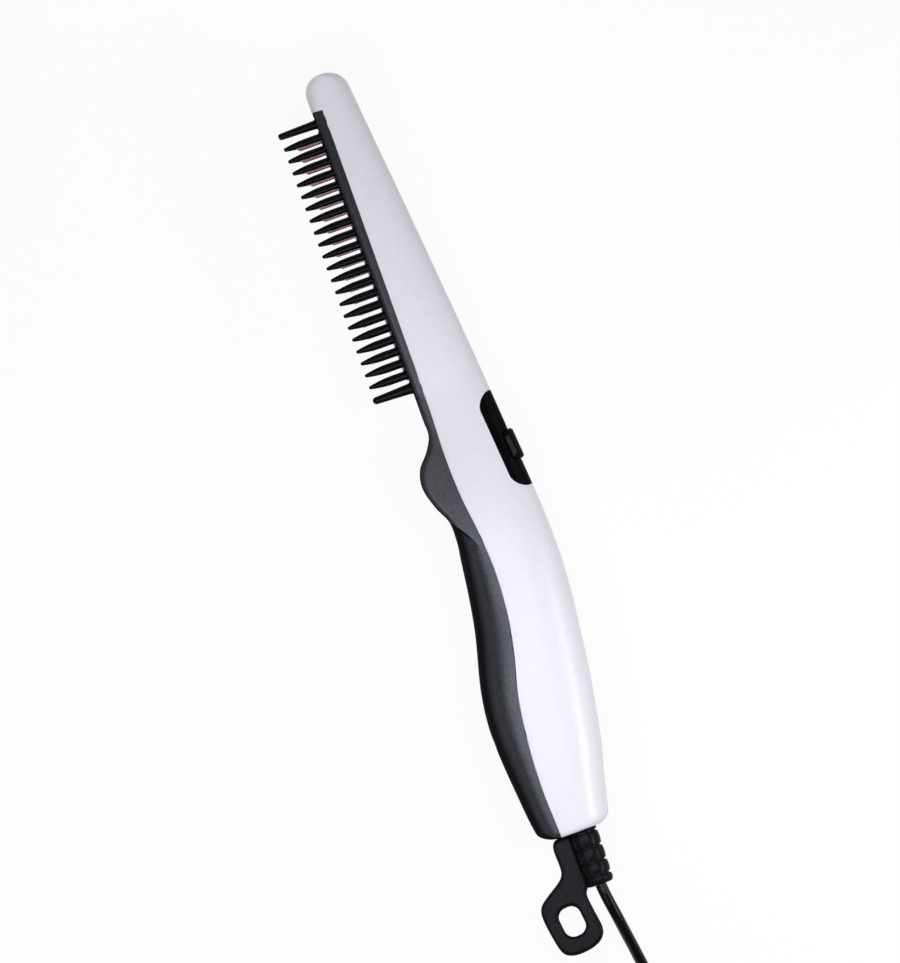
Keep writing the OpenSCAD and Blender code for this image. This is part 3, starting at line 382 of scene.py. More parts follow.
def skinPatch(middle, p):
    # a curved slab on the back: it reaches depth down both sides, with round lower corners, and
    # stands between the heights top and bottom over the surface, with its rim rounded by edge
    columns, rows = p["grid"]
    half, corner, bow, edge = p["halfLength"], p["corner"], p["bow"], p["edge"]
    u = half * np.sin(np.linspace(-pi / 2, pi / 2, columns + 1))
    outside = np.clip(np.abs(u) - (half - corner), 0, corner) / corner
    widest = reachOfSkin(u, p["depth"] - corner * (1 - (1 - outside ** bow) ** (1 / bow)))
    around = np.sin(np.linspace(-pi / 2, pi / 2, rows + 1))
    turn = around[None, :] * widest[:, None]
    along = np.repeat((middle + u)[:, None], rows + 1, 1)

    flat = skinPoint(along, turn, 0)[0]
    steps = np.linalg.norm(np.diff(flat, axis=1), axis=2)
    arc = np.concatenate([np.zeros((columns + 1, 1)), np.cumsum(steps, 1)], 1)
    toEnd = half - np.abs(u)[:, None] + 0 * turn
    toSide = np.minimum(arc, arc[:, -1:] - arc)
    drop = np.maximum(cornerIn(toEnd, edge), cornerIn(toSide, edge))
    upper = skinPoint(along, turn, drop - p["top"])[0]
    lower = skinPoint(along, turn, 0 * turn - p["bottom"])[0]

    index = np.arange(turn.size).reshape(turn.shape)
    a, b, c, d = index[:-1, :-1], index[1:, :-1], index[1:, 1:], index[:-1, 1:]
    quads = np.stack([a, b, c, d], -1).reshape(-1, 4)
    rim = np.concatenate([index[:, 0], index[-1, 1:], index[-2::-1, -1], index[0, -2:0:-1]])
    following = np.roll(rim, -1)
    walls = np.stack([rim, following, following + turn.size, rim + turn.size], -1)
    faces = np.concatenate([quads, quads[:, ::-1] + turn.size, walls]).tolist()
    return solidMesh(placed([upper, lower]), faces)


# white shell: back, head and closed tip
whiteShell = {
    "backPoints": 72, "lidPoints": 30, "from": 5.5, "step": 1.5, "lidGap": 0.05, "tipStep": 0.35,
    "pastComb": [0, 0.04, 0.12, 0.25, 0.5],
    "beforeTip": [8.4, 7, 5.8, 4.8, 3.9, 3.1, 2.4, 1.8, 1.3, 0.85, 0.5, 0.25, 0.1, 0.03, 0],
    "recess": {"halfLength": 16.1, "depth": 5.6, "corner": 5.1, "bow": 1.7, "top": 1.5, "bottom": -1.05,
               "edge": 0, "grid": (48, 56)},
    "collar": (-1, 3), "collarRadius": 3.5,
}


def bowed(x, base, height, half, bow, turns):
    # a half round over base, from one side to the other; it's squarer where bow is larger
    return [(x, base + height * abs(cos(t)) ** (2 / bow), half * signedPower(sin(t), 2 / bow))
            for t in turns]


def whiteRings(s):
    end, edge = form["combEnd"], form["seamEdge"]
    lidXs = [*form["nearEnd"], *np.arange(s["from"], end - 1, s["step"]), end - s["lidGap"]]
    tipXs = [*(end + x for x in s["pastComb"]), *(form["length"] - x for x in s["beforeTip"])]
    backTurns = np.linspace(-pi / 2, pi / 2, s["backPoints"] + 1)
    tipTurns = np.linspace(pi / 2, -pi / 2, s["lidPoints"] + 8)[1:-1]
    rings = []
    for k, x in enumerate(lidXs + tipXs):
        inward = float(endsIn(x))
        half = float(widthAt(x) - edgesIn(x))
        middle = float(middleAt(x)) - form["seamGap"] / 2
        shoulder = middle - edge
        deep = shoulder - float(backAt(x)) - inward
        ring = bowed(x, shoulder, -deep, half, form["backBow"], backTurns)
        if k < len(lidXs):
            rounded = [(half - edge * (1 - cos(a)), shoulder + edge * sin(a))
                       for a in (filletStep, 2 * filletStep, 3 * filletStep)]
            across = np.linspace(half - edge, edge - half, s["lidPoints"] + 2)[1:-1]
            ring += [(x, y, z) for z, y in rounded] + [(x, middle, z) for z in across]
            ring += [(x, y, -z) for z, y in rounded[::-1]]
        else:
            rise = form["tipFront"] - inward - shoulder - float(cornerIn(x - end, s["tipStep"]))
            ring += bowed(x, shoulder, rise, half, form["tipBow"], tipTurns)
        rings.append(ring)
    return placed(rings)


def makeWhiteShell():
    s = whiteShell
    piece = addObject("whiteShell", meshFromRings(whiteRings(s)))
    recess = addObject("recessCutter", skinPatch(0, s["recess"]))
    start, end = (placed((x, relief["axis"], 0)) for x in s["collar"])
    collar = addObject("collarCutter", rodMesh(start, end, s["collarRadius"] * mm))
    cutAway(piece, recess, slotCutter(), collar)
    return dress(piece, 40, "white_plastic", "white_shell")


# grip cover: round on the grip, flat-sided on the finger stop, with a slanting crease between
gripCover = {
    "lidPoints": 24, "roundBow": 2.15, "stopCorner": 2.2, "thinCorner": 0.677,  # share of a thin depth
    "crease": (88.6, -2.2, 105, 6), "creaseWidth": 2.4,
    "stations": [(5.5, 88, 1.5), (88, 108, 0.35), (108, 134, 0.7), (134, 143, 1.5)],  # from, to, step
    "quarter": [(0, 28, 12), (28, 52, 27), (52, 90, 16)],  # from, to, number of points
    "screws": (33.99, 95.79), "seatOverSeam": 0.8, "screwHole": 2.6, "screwHoleEnd": 25,
    "throughHole": 1.5, "throughFrom": -6, "throughTo": 1,
}


def boxReach(across, forward, half, depth, corner):
    # how far a line from the seam's middle runs until it leaves a box with rounded front corners
    tiny = 1e-9  # so that nothing is divided by 0
    across, forward = np.maximum(np.abs(across), tiny), np.maximum(forward, tiny)
    far = np.minimum(half / across, depth / forward)
    cz, cy = half - corner, depth - corner
    inCorner = (far * across > cz) & (far * forward > cy)
    a, b = across ** 2 + forward ** 2, across * cz + forward * cy
    c = cz * cz + cy * cy - corner * corner
    return np.where(inCorner, (b + np.sqrt(np.maximum(b * b - a * c, 0))) / a, far)


def gripRings(g):
    edge, bow = form["seamEdge"], g["roundBow"]
    stations = [np.arange(*part) for part in g["stations"]]
    quarter = np.concatenate([np.linspace(*part)[:-1] for part in g["quarter"]] + [[90]])
    beta = np.radians(np.concatenate([quarter, 180 - quarter[-2::-1]]))
    rounding = (np.abs(np.cos(beta)) ** bow + np.sin(beta) ** bow) ** (-1 / bow)
    x0, y0, x1, y1 = g["crease"]
    rings = []
    for x in np.concatenate([form["nearEnd"], *stations, [form["combStart"]]]):
        half = float(widthAt(x) - edgesIn(x))
        seam = float(seamAt(x)) + form["seamGap"] / 2
        depth = float(frontAt(x) - endsIn(x)) - seam
        across, forward = half * np.cos(beta), depth * np.sin(beta)
        creaseX = x0 + (x1 - x0) * (seam + forward * rounding - y0) / (y1 - y0)
        pastCrease = eased(np.clip((x - creaseX) / g["creaseWidth"], 0, 1))
        corner = min(g["stopCorner"], g["thinCorner"] * depth)
        reach = rounding + (boxReach(across, forward, half, depth, corner) - rounding) * pastCrease
        heights = seam + edge + (depth - edge) / depth * forward * reach
        ring = [(x, y, z) for y, z in zip(heights, across * reach)]
        rounded = [(seam + edge - edge * cos(a), half - edge + edge * sin(a))
                   for a in (2 * filletStep, filletStep, 0)]
        over = np.linspace(edge - half, half - edge, g["lidPoints"] + 2)[1:-1]
        ring += [(x, y, -z) for y, z in rounded] + [(x, seam, z) for z in over]
        ring += [(x, y, z) for y, z in rounded[::-1]]
        rings.append(ring)
    return placed(rings)


def makeGripCover():
    g = gripCover
    piece = addObject("gripCover", meshFromRings(gripRings(g)))
    cutters = []
    for x in g["screws"]:
        seat = float(seamAt(x)) + g["seatOverSeam"]
        for start, end, radius in ((seat, g["screwHoleEnd"], g["screwHole"]),
                                   (seat + g["throughFrom"], seat + g["throughTo"], g["throughHole"])):
            rod = rodMesh(placed((x, start, 0)), placed((x, end, 0)), radius * mm)
            cutters.append(addObject("holeCutter", rod))
    cutAway(piece, *cutters)
    return dress(piece, 40, "soft_grip", "grip_cover")


# comb guard: a frame round the window for the fins, and the teeth on both its sides
combGuard = {"clear": 0.05, "height": (3.1, 3.4), "window": (149.6, 232.2, 5.3), "frontEdge": 2.1,
             "smallEdge": 0.12, "sharpFrom": 50, "gripEnd": 0.01}  # the edges at the grip stay sharp


def makeCombGuard():
    c = combGuard
    x0, x1 = form["combStart"], form["combEnd"] - c["clear"]
    w0, w1, inner = c["window"]
    low, high = c["height"]
    outline = [(x0, -form["headWidth"]), (x1, -form["tipWidth"]), (x1, form["tipWidth"]),
               (x0, form["headWidth"])]
    window = [(w0, -inner), (w1, -inner), (w1, inner), (w0, inner)]

    def front(x):
        return low + (high - low) * (x - x0) / (x1 - x0)
    work = bmesh.new()
    corners = [[[work.verts.new(placed((x, front(x) if level else c["clear"], z))) for x, z in shape]
                for shape in (outline, window)] for level in (0, 1)]
    for i in range(4):
        j = (i + 1) % 4
        for outer, hole in corners:
            work.faces.new([outer[i], outer[j], hole[j], hole[i]])
        for lower, upper in zip(*corners):
            work.faces.new([lower[i], lower[j], upper[j], upper[i]])
    bmesh.ops.recalc_face_normals(work, faces=work.faces)
    top = corners[1][0]
    roundEdges(work, [work.edges.get(top[:2]), work.edges.get(top[2:])], c["frontEdge"] * mm, 8)
    start = placed((x0 + c["gripEnd"], 0, 0))[0]
    sharp = [e for e in work.edges if len(e.link_faces) == 2
             and e.calc_face_angle(0) > radians(c["sharpFrom"])
             and min(end.co.x for end in e.verts) > start]
    roundEdges(work, sharp, c["smallEdge"] * mm, 2)
    piece = addObject("combGuard", finished(work, "combGuard"))
    return dress(piece, 40, "black_plastic", "comb_guard")


teeth = {
    "count": 21, "pitch": 3.93, "first": 151.6, "foot": 3.1, "thick": 2.62, "lastScale": 0.86,
    "length": 12.4, "rowMiddle": 6.7, "rowWidth": 2.6, "bow": 2.5, "sunk": 0.7, "around": 28,
    "flare": 0.2, "flareSide": 0.4, "flareHeight": 0.45,
    "profile": [(0, 1), (0.4, 1), (0.55, 0.945), (0.68, 0.82), (0.8, 0.66), (0.9, 0.5), (0.965, 0.37)],
    "sideTaper": 0.3, "tipTaper": 0.2, "tipFrom": 0.7, "sideLead": 0.03, "closed": 0.998,
    "levels": [0, 0.012, 0.03, 0.06, *np.linspace(0.1, 0.5, 7), *np.linspace(0.55, 0.95, 14),
               0.965, 0.975, 0.985, 0.993, 0.998, 1],
    "guards": {"lower": (147.2, 3.3, 2.1), "upper": (234.5, 2.45, 1.65)},  # X, lower and upper thickness
    "guardLength": 12.7, "guardTaper": 0.05,
}
toothProfile = smoothCurve(teeth["profile"])


def toothMesh(half, top):
    # one tooth on the comb guard's face: half(share) gives half its thickness and half its width
    power = 2 / teeth["bow"]
    angles = np.linspace(0, 2 * pi, teeth["around"], endpoint=False)
    rings = []
    for level in [-teeth["sunk"] / top, *teeth["levels"]]:
        share = max(level, 0)
        hx, hz = half(share)
        flare = teeth["flare"] * exp(-share * top / teeth["flareHeight"])
        rings.append([((hx + flare) * signedPower(cos(a), power), level * top,
                       (hz + teeth["flareSide"] * flare) * signedPower(sin(a), power))
                      for a in angles])
    return meshFromRings(np.array(rings) * mm)


def closing(share, start):
    # 1 up to start, then round to almost nothing at the top
    past = min(max(share - start, 0) / (1 - start), teeth["closed"])
    return sqrt(1 - past * past)


def pointedHalf(share):
    t = teeth
    start = t["profile"][-1][0]
    hx = t["thick"] / 2 * float(toothProfile(min(share, start)))
    taper = 1 - t["tipTaper"] * max(share - t["tipFrom"], 0) / (1 - t["tipFrom"])
    hz = t["rowWidth"] / 2 * (1 - t["sideTaper"] * share ** 2) * taper
    return hx * closing(share, start), hz * closing(share, start - t["sideLead"])


def guardHalf(base, top):
    start = 1 - top / 2 / teeth["guardLength"]

    def at(share):
        hz = teeth["rowWidth"] / 2 * (1 - teeth["guardTaper"] * share)
        return (base + (top - base) * share) / 2 * closing(share, start), hz * closing(share, start)
    return at


def addNodes(tree, *kinds):
    return [tree.nodes.new(kind) for kind in kinds]


def addSockets(tree, direction, kinds):
    for label, kind in kinds.items():
        tree.interface.new_socket(label, in_out=direction, socket_type="NodeSocket" + kind)


def setInputs(node, values):
    for label, value in values.items():
        node.inputs[label].default_value = value


def linkAll(tree, *links):
    # each link is a node and its output, then a node and its input
    for source, output, target, label in links:
        tree.links.new(source.outputs[output], target.inputs[label])


def rowTree():
    # copies the mesh it gets along a line, each a little thinner than the one before
    tree = bpy.data.node_groups.new("rowOfCopies", "GeometryNodeTree")
    addSockets(tree, "INPUT", {"Geometry": "Geometry", "Count": "Int", "Pitch": "Float",
                               "Start": "Vector", "Last Scale": "Float", "Material": "Material"})
    addSockets(tree, "OUTPUT", {"Geometry": "Geometry"})
    given, result, along, place = addNodes(tree, "NodeGroupInput", "NodeGroupOutput",
                                           "GeometryNodeMeshLine", "GeometryNodeInputIndex")
    last, thin, step, scale = addNodes(tree, "ShaderNodeMath", "ShaderNodeMapRange",
                                       "ShaderNodeCombineXYZ", "ShaderNodeCombineXYZ")
    copies, real, coloured = addNodes(tree, "GeometryNodeInstanceOnPoints",
                                      "GeometryNodeRealizeInstances", "GeometryNodeSetMaterial")
    last.operation = "SUBTRACT"
    last.inputs[1].default_value = 1
    setInputs(thin, {"To Min": 1})
    setInputs(scale, {"Y": 1, "Z": 1})
    linkAll(tree, (given, "Count", along, "Count"), (given, "Start", along, "Start Location"),
            (given, "Pitch", step, "X"), (step, 0, along, "Offset"), (given, "Count", last, 0),
            (last, 0, thin, "From Max"), (place, 0, thin, "Value"),
            (given, "Last Scale", thin, "To Max"), (thin, 0, scale, "X"), (scale, 0, copies, "Scale"),
            (along, 0, copies, "Points"), (given, "Geometry", copies, "Instance"),
            (copies, 0, real, 0), (real, 0, coloured, "Geometry"),
            (given, "Material", coloured, "Material"), (coloured, 0, result, 0))
    return tree


def copyInRow(piece, tree, start, pitch, lastScale, material):
    # one copy of the piece's mesh for each tooth of a row
    values = {"Count": teeth["count"], "Pitch": pitch * mm, "Start": placed(start).tolist(),
              "Last Scale": lastScale, "Material": material}
    step = piece.modifiers.new("row", "NODES")
    step.node_group = tree
    for item in tree.interface.items_tree:
        if item.in_out == "INPUT" and item.name in values:
            step[item.identifier] = values[item.name]
    return settle(piece)


def makeTeeth(tree, material):
    t = teeth
    pieces = []
    for name, node, side in (("nearTeeth", "near_teeth", 1), ("farTeeth", "far_teeth", -1)):
        row = addObject(name, toothMesh(pointedHalf, t["length"]))
        foot = t["foot"], side * t["rowMiddle"]
        pointed = copyInRow(row, tree, (t["first"], *foot), t["pitch"], t["lastScale"], material)
        guards = [moved(toothMesh(guardHalf(base, top), t["guardLength"]), placed((x, *foot)))
                  for x, base, top in t["guards"].values()]
        row.data = joined(name, [pointed, *guards])
        pieces.append(dress(row, 50, "black_plastic", node))
    return pieces


# heater plate: a deck in the guard's window, with a fin beside each pair of teeth
heater = {"deck": (149.95, 231.85, 5.1), "deckTop": 3.75, "under": -1.8, "deckEdge": 0.2,
          "pitch": 3.8975, "finThick": 2.3, "finTop": 11.65, "finFoot": 0.6, "finEdge": 0.25,
          "finLip": 0.07}


def finMesh():
    h = heater
    radius, top = h["finThick"] / 2, h["finTop"] - h["deckTop"]
    crest = top - radius
    side = [(-radius, -h["finFoot"]), (-radius, 0), (-radius, crest / 2)]
    arch = [(-radius * cos(a), crest + radius * sin(a)) for a in np.linspace(0, pi, 25)]
    profile = side + arch + [(-x, y) for x, y in side[::-1]]
    half, edge, lip = h["deck"][2], h["finEdge"], h["finLip"]
    ends = [(-half, edge), (-half + lip, lip), (-half + edge, 0)]  # place along the fin, and inset
    rings = []
    for z, inset in ends + [(0, 0)] + [(-z, inset) for z, inset in ends[::-1]]:
        shrink = (radius - inset) / radius
        rings.append([(x * shrink, min(y, crest) + max(y - crest, 0) * shrink, z)
                      for x, y in profile])
    return meshFromRings(np.array(rings) * mm)


def makeHeaterPlate(tree, material):
    h = heater
    piece = addObject("heaterFins", finMesh())
    fins = copyInRow(piece, tree, (teeth["first"], h["deckTop"], 0), h["pitch"], 1.0, material)
    x0, x1, half = h["deck"]
    deck = blockMesh(lambda x, y, z: (x, y, z), (x0, h["under"], -half), (x1, h["deckTop"], half))
    work = bmesh.new()
    work.from_mesh(deck)
    roundEdges(work, work.edges[:], h["deckEdge"] * mm, 2)
    piece.data = joined("heaterFins", [fins, finished(work, "deck")])
    return dress(piece, 40, "rose_coating", "heater_plate")


# switch panel and knob, both wrapped round the back
panel = {"halfLength": 16, "depth": 5.5, "corner": 5, "bow": 1.7, "top": 0.04, "bottom": -1,
         "edge": 0.25, "grid": (90, 70)}
knob = {"halfLength": 5, "depth": 2.4, "corner": 1.9, "bow": 2, "top": 1.35, "bottom": 0.3, "edge": 1,
        "grid": (60, 60),
        "facet": {"halfLength": 3.1, "from": 0.3, "to": 1.75, "height": 7.3, "outer": 12}}


def makePanel():
    piece = addObject("switchPanel", skinPatch(0, panel))
    cutAway(piece, slotCutter())
    return dress(piece, 40, "black_plastic", "switch_panel")


def makeKnob():
    f, rest = knob["facet"], switch["rest"]
    piece = addObject("switchKnob", skinPatch(rest, knob))
    cutters = []
    for low, high in ((f["height"], f["outer"]), (-f["outer"], -f["height"])):
        block = blockMesh(switchPoint, (rest - f["halfLength"], f["from"], low),
                          (rest + f["halfLength"], f["to"], high))
        cutters.append(addObject("facetCutter", block))
    cutAway(piece, *cutters)
    stem = blockMesh(switchPoint, *((rest + u, v, z) for u, v, z in switch["stem"]))
    piece.data = joined("switchKnob", [piece.data, stem])
    return dress(piece, 50, "black_plastic", "switch_knob", body="slider")


# strain relief with its ribs, and the hanging loop beside it
relief = {
    "axis": -0.3, "inBody": -0.1, "tip": -18, "tipRadius": 4.4, "tipEdge": 1, "bodyRadius": 4.8,
    "grooves": (-1.26, -6.05, -10.75, -15), "grooveDepth": 0.6, "grooveWidth": 0.5, "grooveEdge": 0.03,
    "ribEdge": 0.45, "ribShare": 2.2, "crown": 0.16, "crownFrom": 4, "hole": 1.83, "sides": 72,
    "loopThick": 3.6, "loopEdge": 1.2,
    "loop": [(-1.4, 3.6), (-0.3, 4.8), (-0.3, 7.8), (-1.2, 9.3), (-3.4, 10), (-9, 9.9), (-11.6, 10.5),
             (-13.6, 12.6), (-16.6, 17.2), (-18.8, 19.6), (-22, 20.3), (-28, 19.6), (-33.4, 18.4),
             (-35.6, 16.6), (-36.4, 13.2), (-35.8, 8.4), (-34, 5), (-30.8, 3.6), (-25, 4.3),
             (-19.6, 4.8), (-16.4, 3.4), (-8, 3.6)],
    "eye": {"middle": (-26, 11.9), "length": 9.4, "width": 6.95, "radius": 3, "tilt": 7},
    "vent": {"x": -8.66, "side": 2.8, "radius": 0.6, "deep": 1.4, "outer": 6, "sides": 24},
}


def closedCurve(points, steps):
    # a smooth closed line through the points
    p = np.array(points, float)
    smooth = []
    for i in range(len(p)):
        a, b, c, d = p[i - 1], p[i], p[(i + 1) % len(p)], p[(i + 2) % len(p)]
        for u in (k / steps for k in range(steps)):
            smooth.append(0.5 * (2 * b + (c - a) * u + (2 * a - 5 * b + 4 * c - d) * u * u
                                 + (3 * b - a - 3 * c + d) * u ** 3))
    return smooth


def roundedOutline(e, steps=10):
    # a rectangle with round corners, turned by its tilt
    x, y = e["length"] / 2 - e["radius"], e["width"] / 2 - e["radius"]
    tilt = radians(e["tilt"])
    outline = []
    for quarter, (sx, sy) in enumerate(((1, 1), (-1, 1), (-1, -1), (1, -1))):
        for k in range(steps + 1):
            a = radians(90 * quarter + 90 * k / steps)
            px, py = sx * x + e["radius"] * cos(a), sy * y + e["radius"] * sin(a)
            outline.append((e["middle"][0] + px * cos(tilt) - py * sin(tilt),
                            e["middle"][1] + px * sin(tilt) + py * cos(tilt)))
    return outline


def loopMesh(r):
    # the flat tab as a filled curve with rounded rims
    data = bpy.data.curves.new("loopTab", "CURVE")
    data.dimensions = "2D"
    data.fill_mode = "BOTH"
    data.extrude = (r["loopThick"] / 2 - r["loopEdge"]) * mm
    data.bevel_depth = r["loopEdge"] * mm
    data.bevel_resolution = 4
    data.offset = -r["loopEdge"] * mm
    for outline in (closedCurve(r["loop"], 6), roundedOutline(r["eye"])):
        spline = data.splines.new("POLY")
        spline.points.add(len(outline) - 1)
        for spot, (x, y) in zip(spline.points, outline):
            spot.co = (*placed((x, y, 0))[:2], 0, 1)
        spline.use_cyclic_u = True
    tab = addObject("loopTab", data)
    mesh = evaluatedMesh(tab)
    bpy.data.objects.remove(tab)
    return moved(mesh, (0, 0, form["origin"][2]))


def reliefProfile(r):
    # radius along the relief, from the body to its tip: rounded ribs, and grooves between them
    def outer(x):
        return r["bodyRadius"] + (r["tipRadius"] - r["bodyRadius"]) * x / r["tip"]
    width, quarter = r["grooveWidth"] / 2, [radians(18 * k) for k in range(6)]
    grooveEnds = [x for groove in r["grooves"] for x in (groove + width, groove - width)]
    ends = [r["inBody"], *grooveEnds, r["tip"]]
    points = [(ends[0], r["hole"])]
    for near, far in zip(ends[::2], ends[1::2]):
        bend = min(r["ribEdge"], (near - far) / r["ribShare"])
        farBend = r["tipEdge"] if far == r["tip"] else bend
        points += [(near - bend + bend * cos(a), outer(near) - bend + bend * sin(a))
                   for a in quarter]
        crown = r["crown"] * min(1, (near - far) / r["crownFrom"])
        for u in np.linspace(0, 1, 9)[1:-1]:
            x = near - bend + (far + farBend - near + bend) * u
            points.append((x, outer(x) + crown * sin(pi * u)))
        points += [(far + farBend - farBend * sin(a), outer(far) - farBend + farBend * cos(a))
                   for a in quarter]
        if far > r["tip"]:
            bottom = outer(far) - r["grooveDepth"]
            points += [(far - r["grooveEdge"], bottom),
                       (far - r["grooveWidth"] + r["grooveEdge"], bottom)]
    return points + [(r["tip"], r["hole"])]


def makeRelief():
    r, v = relief, relief["vent"]
    angles = np.linspace(0, 2 * pi, r["sides"], endpoint=False)
    rings = placed([[(x, r["axis"] + radius * cos(a), radius * sin(a)) for a in angles]
                    for x, radius in reliefProfile(r)])
    tube = solidMesh(rings, ringFaces(*rings.shape[:2], closed=True))
    piece = addObject("strainRelief", tube)
    cutters = []
    for span in ((v["deep"], v["outer"]), (-v["outer"], -v["deep"])):
        start, end = (placed((v["x"], r["axis"] + v["side"], z)) for z in span)
        cutters.append(addObject("vent", rodMesh(start, end, v["radius"] * mm, v["sides"])))
    cutAway(piece, *cutters)
    piece.data = joined("strainRelief", [piece.data, loopMesh(r)])
    return dress(piece, 35, "cord_sheath", "strain_relief")


# the surface that all materials share: bumps, tones, and a mask for painted shade where the piece faces
# sideways
moulding = {"fineDetail": 3, "broadDetail": 2, "bumpHeight": 0.0002,
            "inputs": {"Scale": 900, "Depth": 0.1, "Broad Scale": 60, "Broad Depth": 0.02,
                       "Sideways": 0.4, "Upright": 0.8}}


def surfaceGroup():
    # fine bumps on broad ones, a tone that varies slowly, and a painted-shade mask that is 1 where the
    # piece faces sideways
    tree = bpy.data.node_groups.new("mouldedGrainAndPaintedShade", "ShaderNodeTree")
    for label, value in moulding["inputs"].items():
        socket = tree.interface.new_socket(label, in_out="INPUT", socket_type="NodeSocketFloat")
        socket.default_value = value
    addSockets(tree, "OUTPUT", {"Normal": "Vector", "Fine": "Float", "Broad": "Float",
                                "Sides": "Float"})
    given, result, place, facing = addNodes(tree, "NodeGroupInput", "NodeGroupOutput",
                                            "ShaderNodeTexCoord", "ShaderNodeNewGeometry")
    fine, broad, bumpFine, bumpBroad = addNodes(tree, "ShaderNodeTexNoise", "ShaderNodeTexNoise",
                                                "ShaderNodeBump", "ShaderNodeBump")
    # upright and sides turn the height of the surface's normal into the painted-shade mask: 1 on the
    # sides, 0 on the top
    parted, upright, sides = addNodes(tree, "ShaderNodeSeparateXYZ", "ShaderNodeMath",
                                      "ShaderNodeMapRange")
    upright.operation = "ABSOLUTE"
    setInputs(fine, {"Detail": moulding["fineDetail"]})
    setInputs(broad, {"Detail": moulding["broadDetail"]})
    for bump in (bumpBroad, bumpFine):
        setInputs(bump, {"Distance": moulding["bumpHeight"]})
    setInputs(sides, {"To Min": 1, "To Max": 0})
    linkAll(tree, (place, "Object", fine, "Vector"), (place, "Object", broad, "Vector"),
            (given, "Scale", fine, "Scale"), (given, "Broad Scale", broad, "Scale"),
            (broad, "Fac", bumpBroad, "Height"), (given, "Broad Depth", bumpBroad, "Strength"),
            (fine, "Fac", bumpFine, "Height"), (given, "Depth", bumpFine, "Strength"),
            (bumpBroad, "Normal", bumpFine, "Normal"), (facing, "Normal", parted, 0),
            (parted, "Z", upright, 0), (upright, 0, sides, "Value"),
            (given, "Sideways", sides, "From Min"), (given, "Upright", sides, "From Max"),
            (bumpFine, "Normal", result, "Normal"), (fine, "Fac", result, "Fine"),
            (broad, "Fac", result, "Broad"), (sides, "Result", result, "Sides"))
    return tree


def rampBetween(tree, source, low, high, dark, light):
    ramp = tree.nodes.new("ShaderNodeMapRange")
    setInputs(ramp, {"From Min": low, "From Max": high, "To Min": dark, "To Max": light})
    tree.links.new(source, ramp.inputs["Value"])
    return ramp.outputs["Result"]


def mixColours(tree, share, first, second):
    # a colour mix's sockets are numbers 0 (share), 6 and 7 (colours), and 2 (result)
    mix = tree.nodes.new("ShaderNodeMix")
    mix.data_type = "RGBA"
    for socket, colour in ((6, first), (7, second)):
        if isinstance(colour, tuple):
            mix.inputs[socket].default_value = (*colour, 1)
        else:
            tree.links.new(colour, mix.inputs[socket])
    tree.links.new(share, mix.inputs[0])
    return mix.outputs[2]


# what the finishes below leave as it is; sides is (Sideways, Upright), over which a piece's colour
# darkens towards its sides as painted shade, to a share of its dark colour
plainFinish = {"scale": 900, "depth": 0.1, "broadScale": 60, "broadDepth": 0.02, "speck": (0.35, 0.65),
               "roughSpread": 0.06, "metal": 0, "coat": 0, "coatRough": 0.15, "specular": 0.5,
               "tint": (1, 1, 1), "sides": None, "paintedShadeTone": 0.3, "toneRange": (0.3, 0.7)}


def newMaterial(name):
    material = bpy.data.materials.new(name)
    material.use_nodes = True
    return material, material.node_tree, material.node_tree.nodes["Principled BSDF"]


def makeMaterial(name, surface, changes):
    # a moulded or coated surface whose tone and roughness follow its grain, and whose colour gets
    # painted shade on its sides where the finish asks for it
    f = {**plainFinish, **changes}
    material, tree, shader = newMaterial(name)
    group = tree.nodes.new("ShaderNodeGroup")
    group.node_tree = surface
    setInputs(group, {"Scale": f["scale"], "Depth": f["depth"], "Broad Scale": f["broadScale"],
                      "Broad Depth": f["broadDepth"]})
    setInputs(shader, {"Metallic": f["metal"], "Coat Weight": f["coat"],
                       "Coat Roughness": f["coatRough"], "Specular IOR Level": f["specular"],
                       "Specular Tint": (*f["tint"], 1)})
    share = rampBetween(tree, group.outputs["Fine"], *f["speck"], 0, 1)
    colour = mixColours(tree, share, f["dark"], f["light"])
    # painted shade: the colour darkens where the surface faces sideways, as if less light fell there
    if f["sides"]:
        setInputs(group, dict(zip(("Sideways", "Upright"), f["sides"])))
        paintedShadeColour = tuple(f["paintedShadeTone"] * c for c in f["dark"])
        colour = mixColours(tree, group.outputs["Sides"], colour, paintedShadeColour)
    rough = rampBetween(tree, group.outputs["Broad"], *f["toneRange"], f["rough"] - f["roughSpread"],
                        f["rough"] + f["roughSpread"])
    tree.links.new(colour, shader.inputs["Base Color"])
    tree.links.new(rough, shader.inputs["Roughness"])
    linkAll(tree, (group, "Normal", shader, "Normal"))
    return material


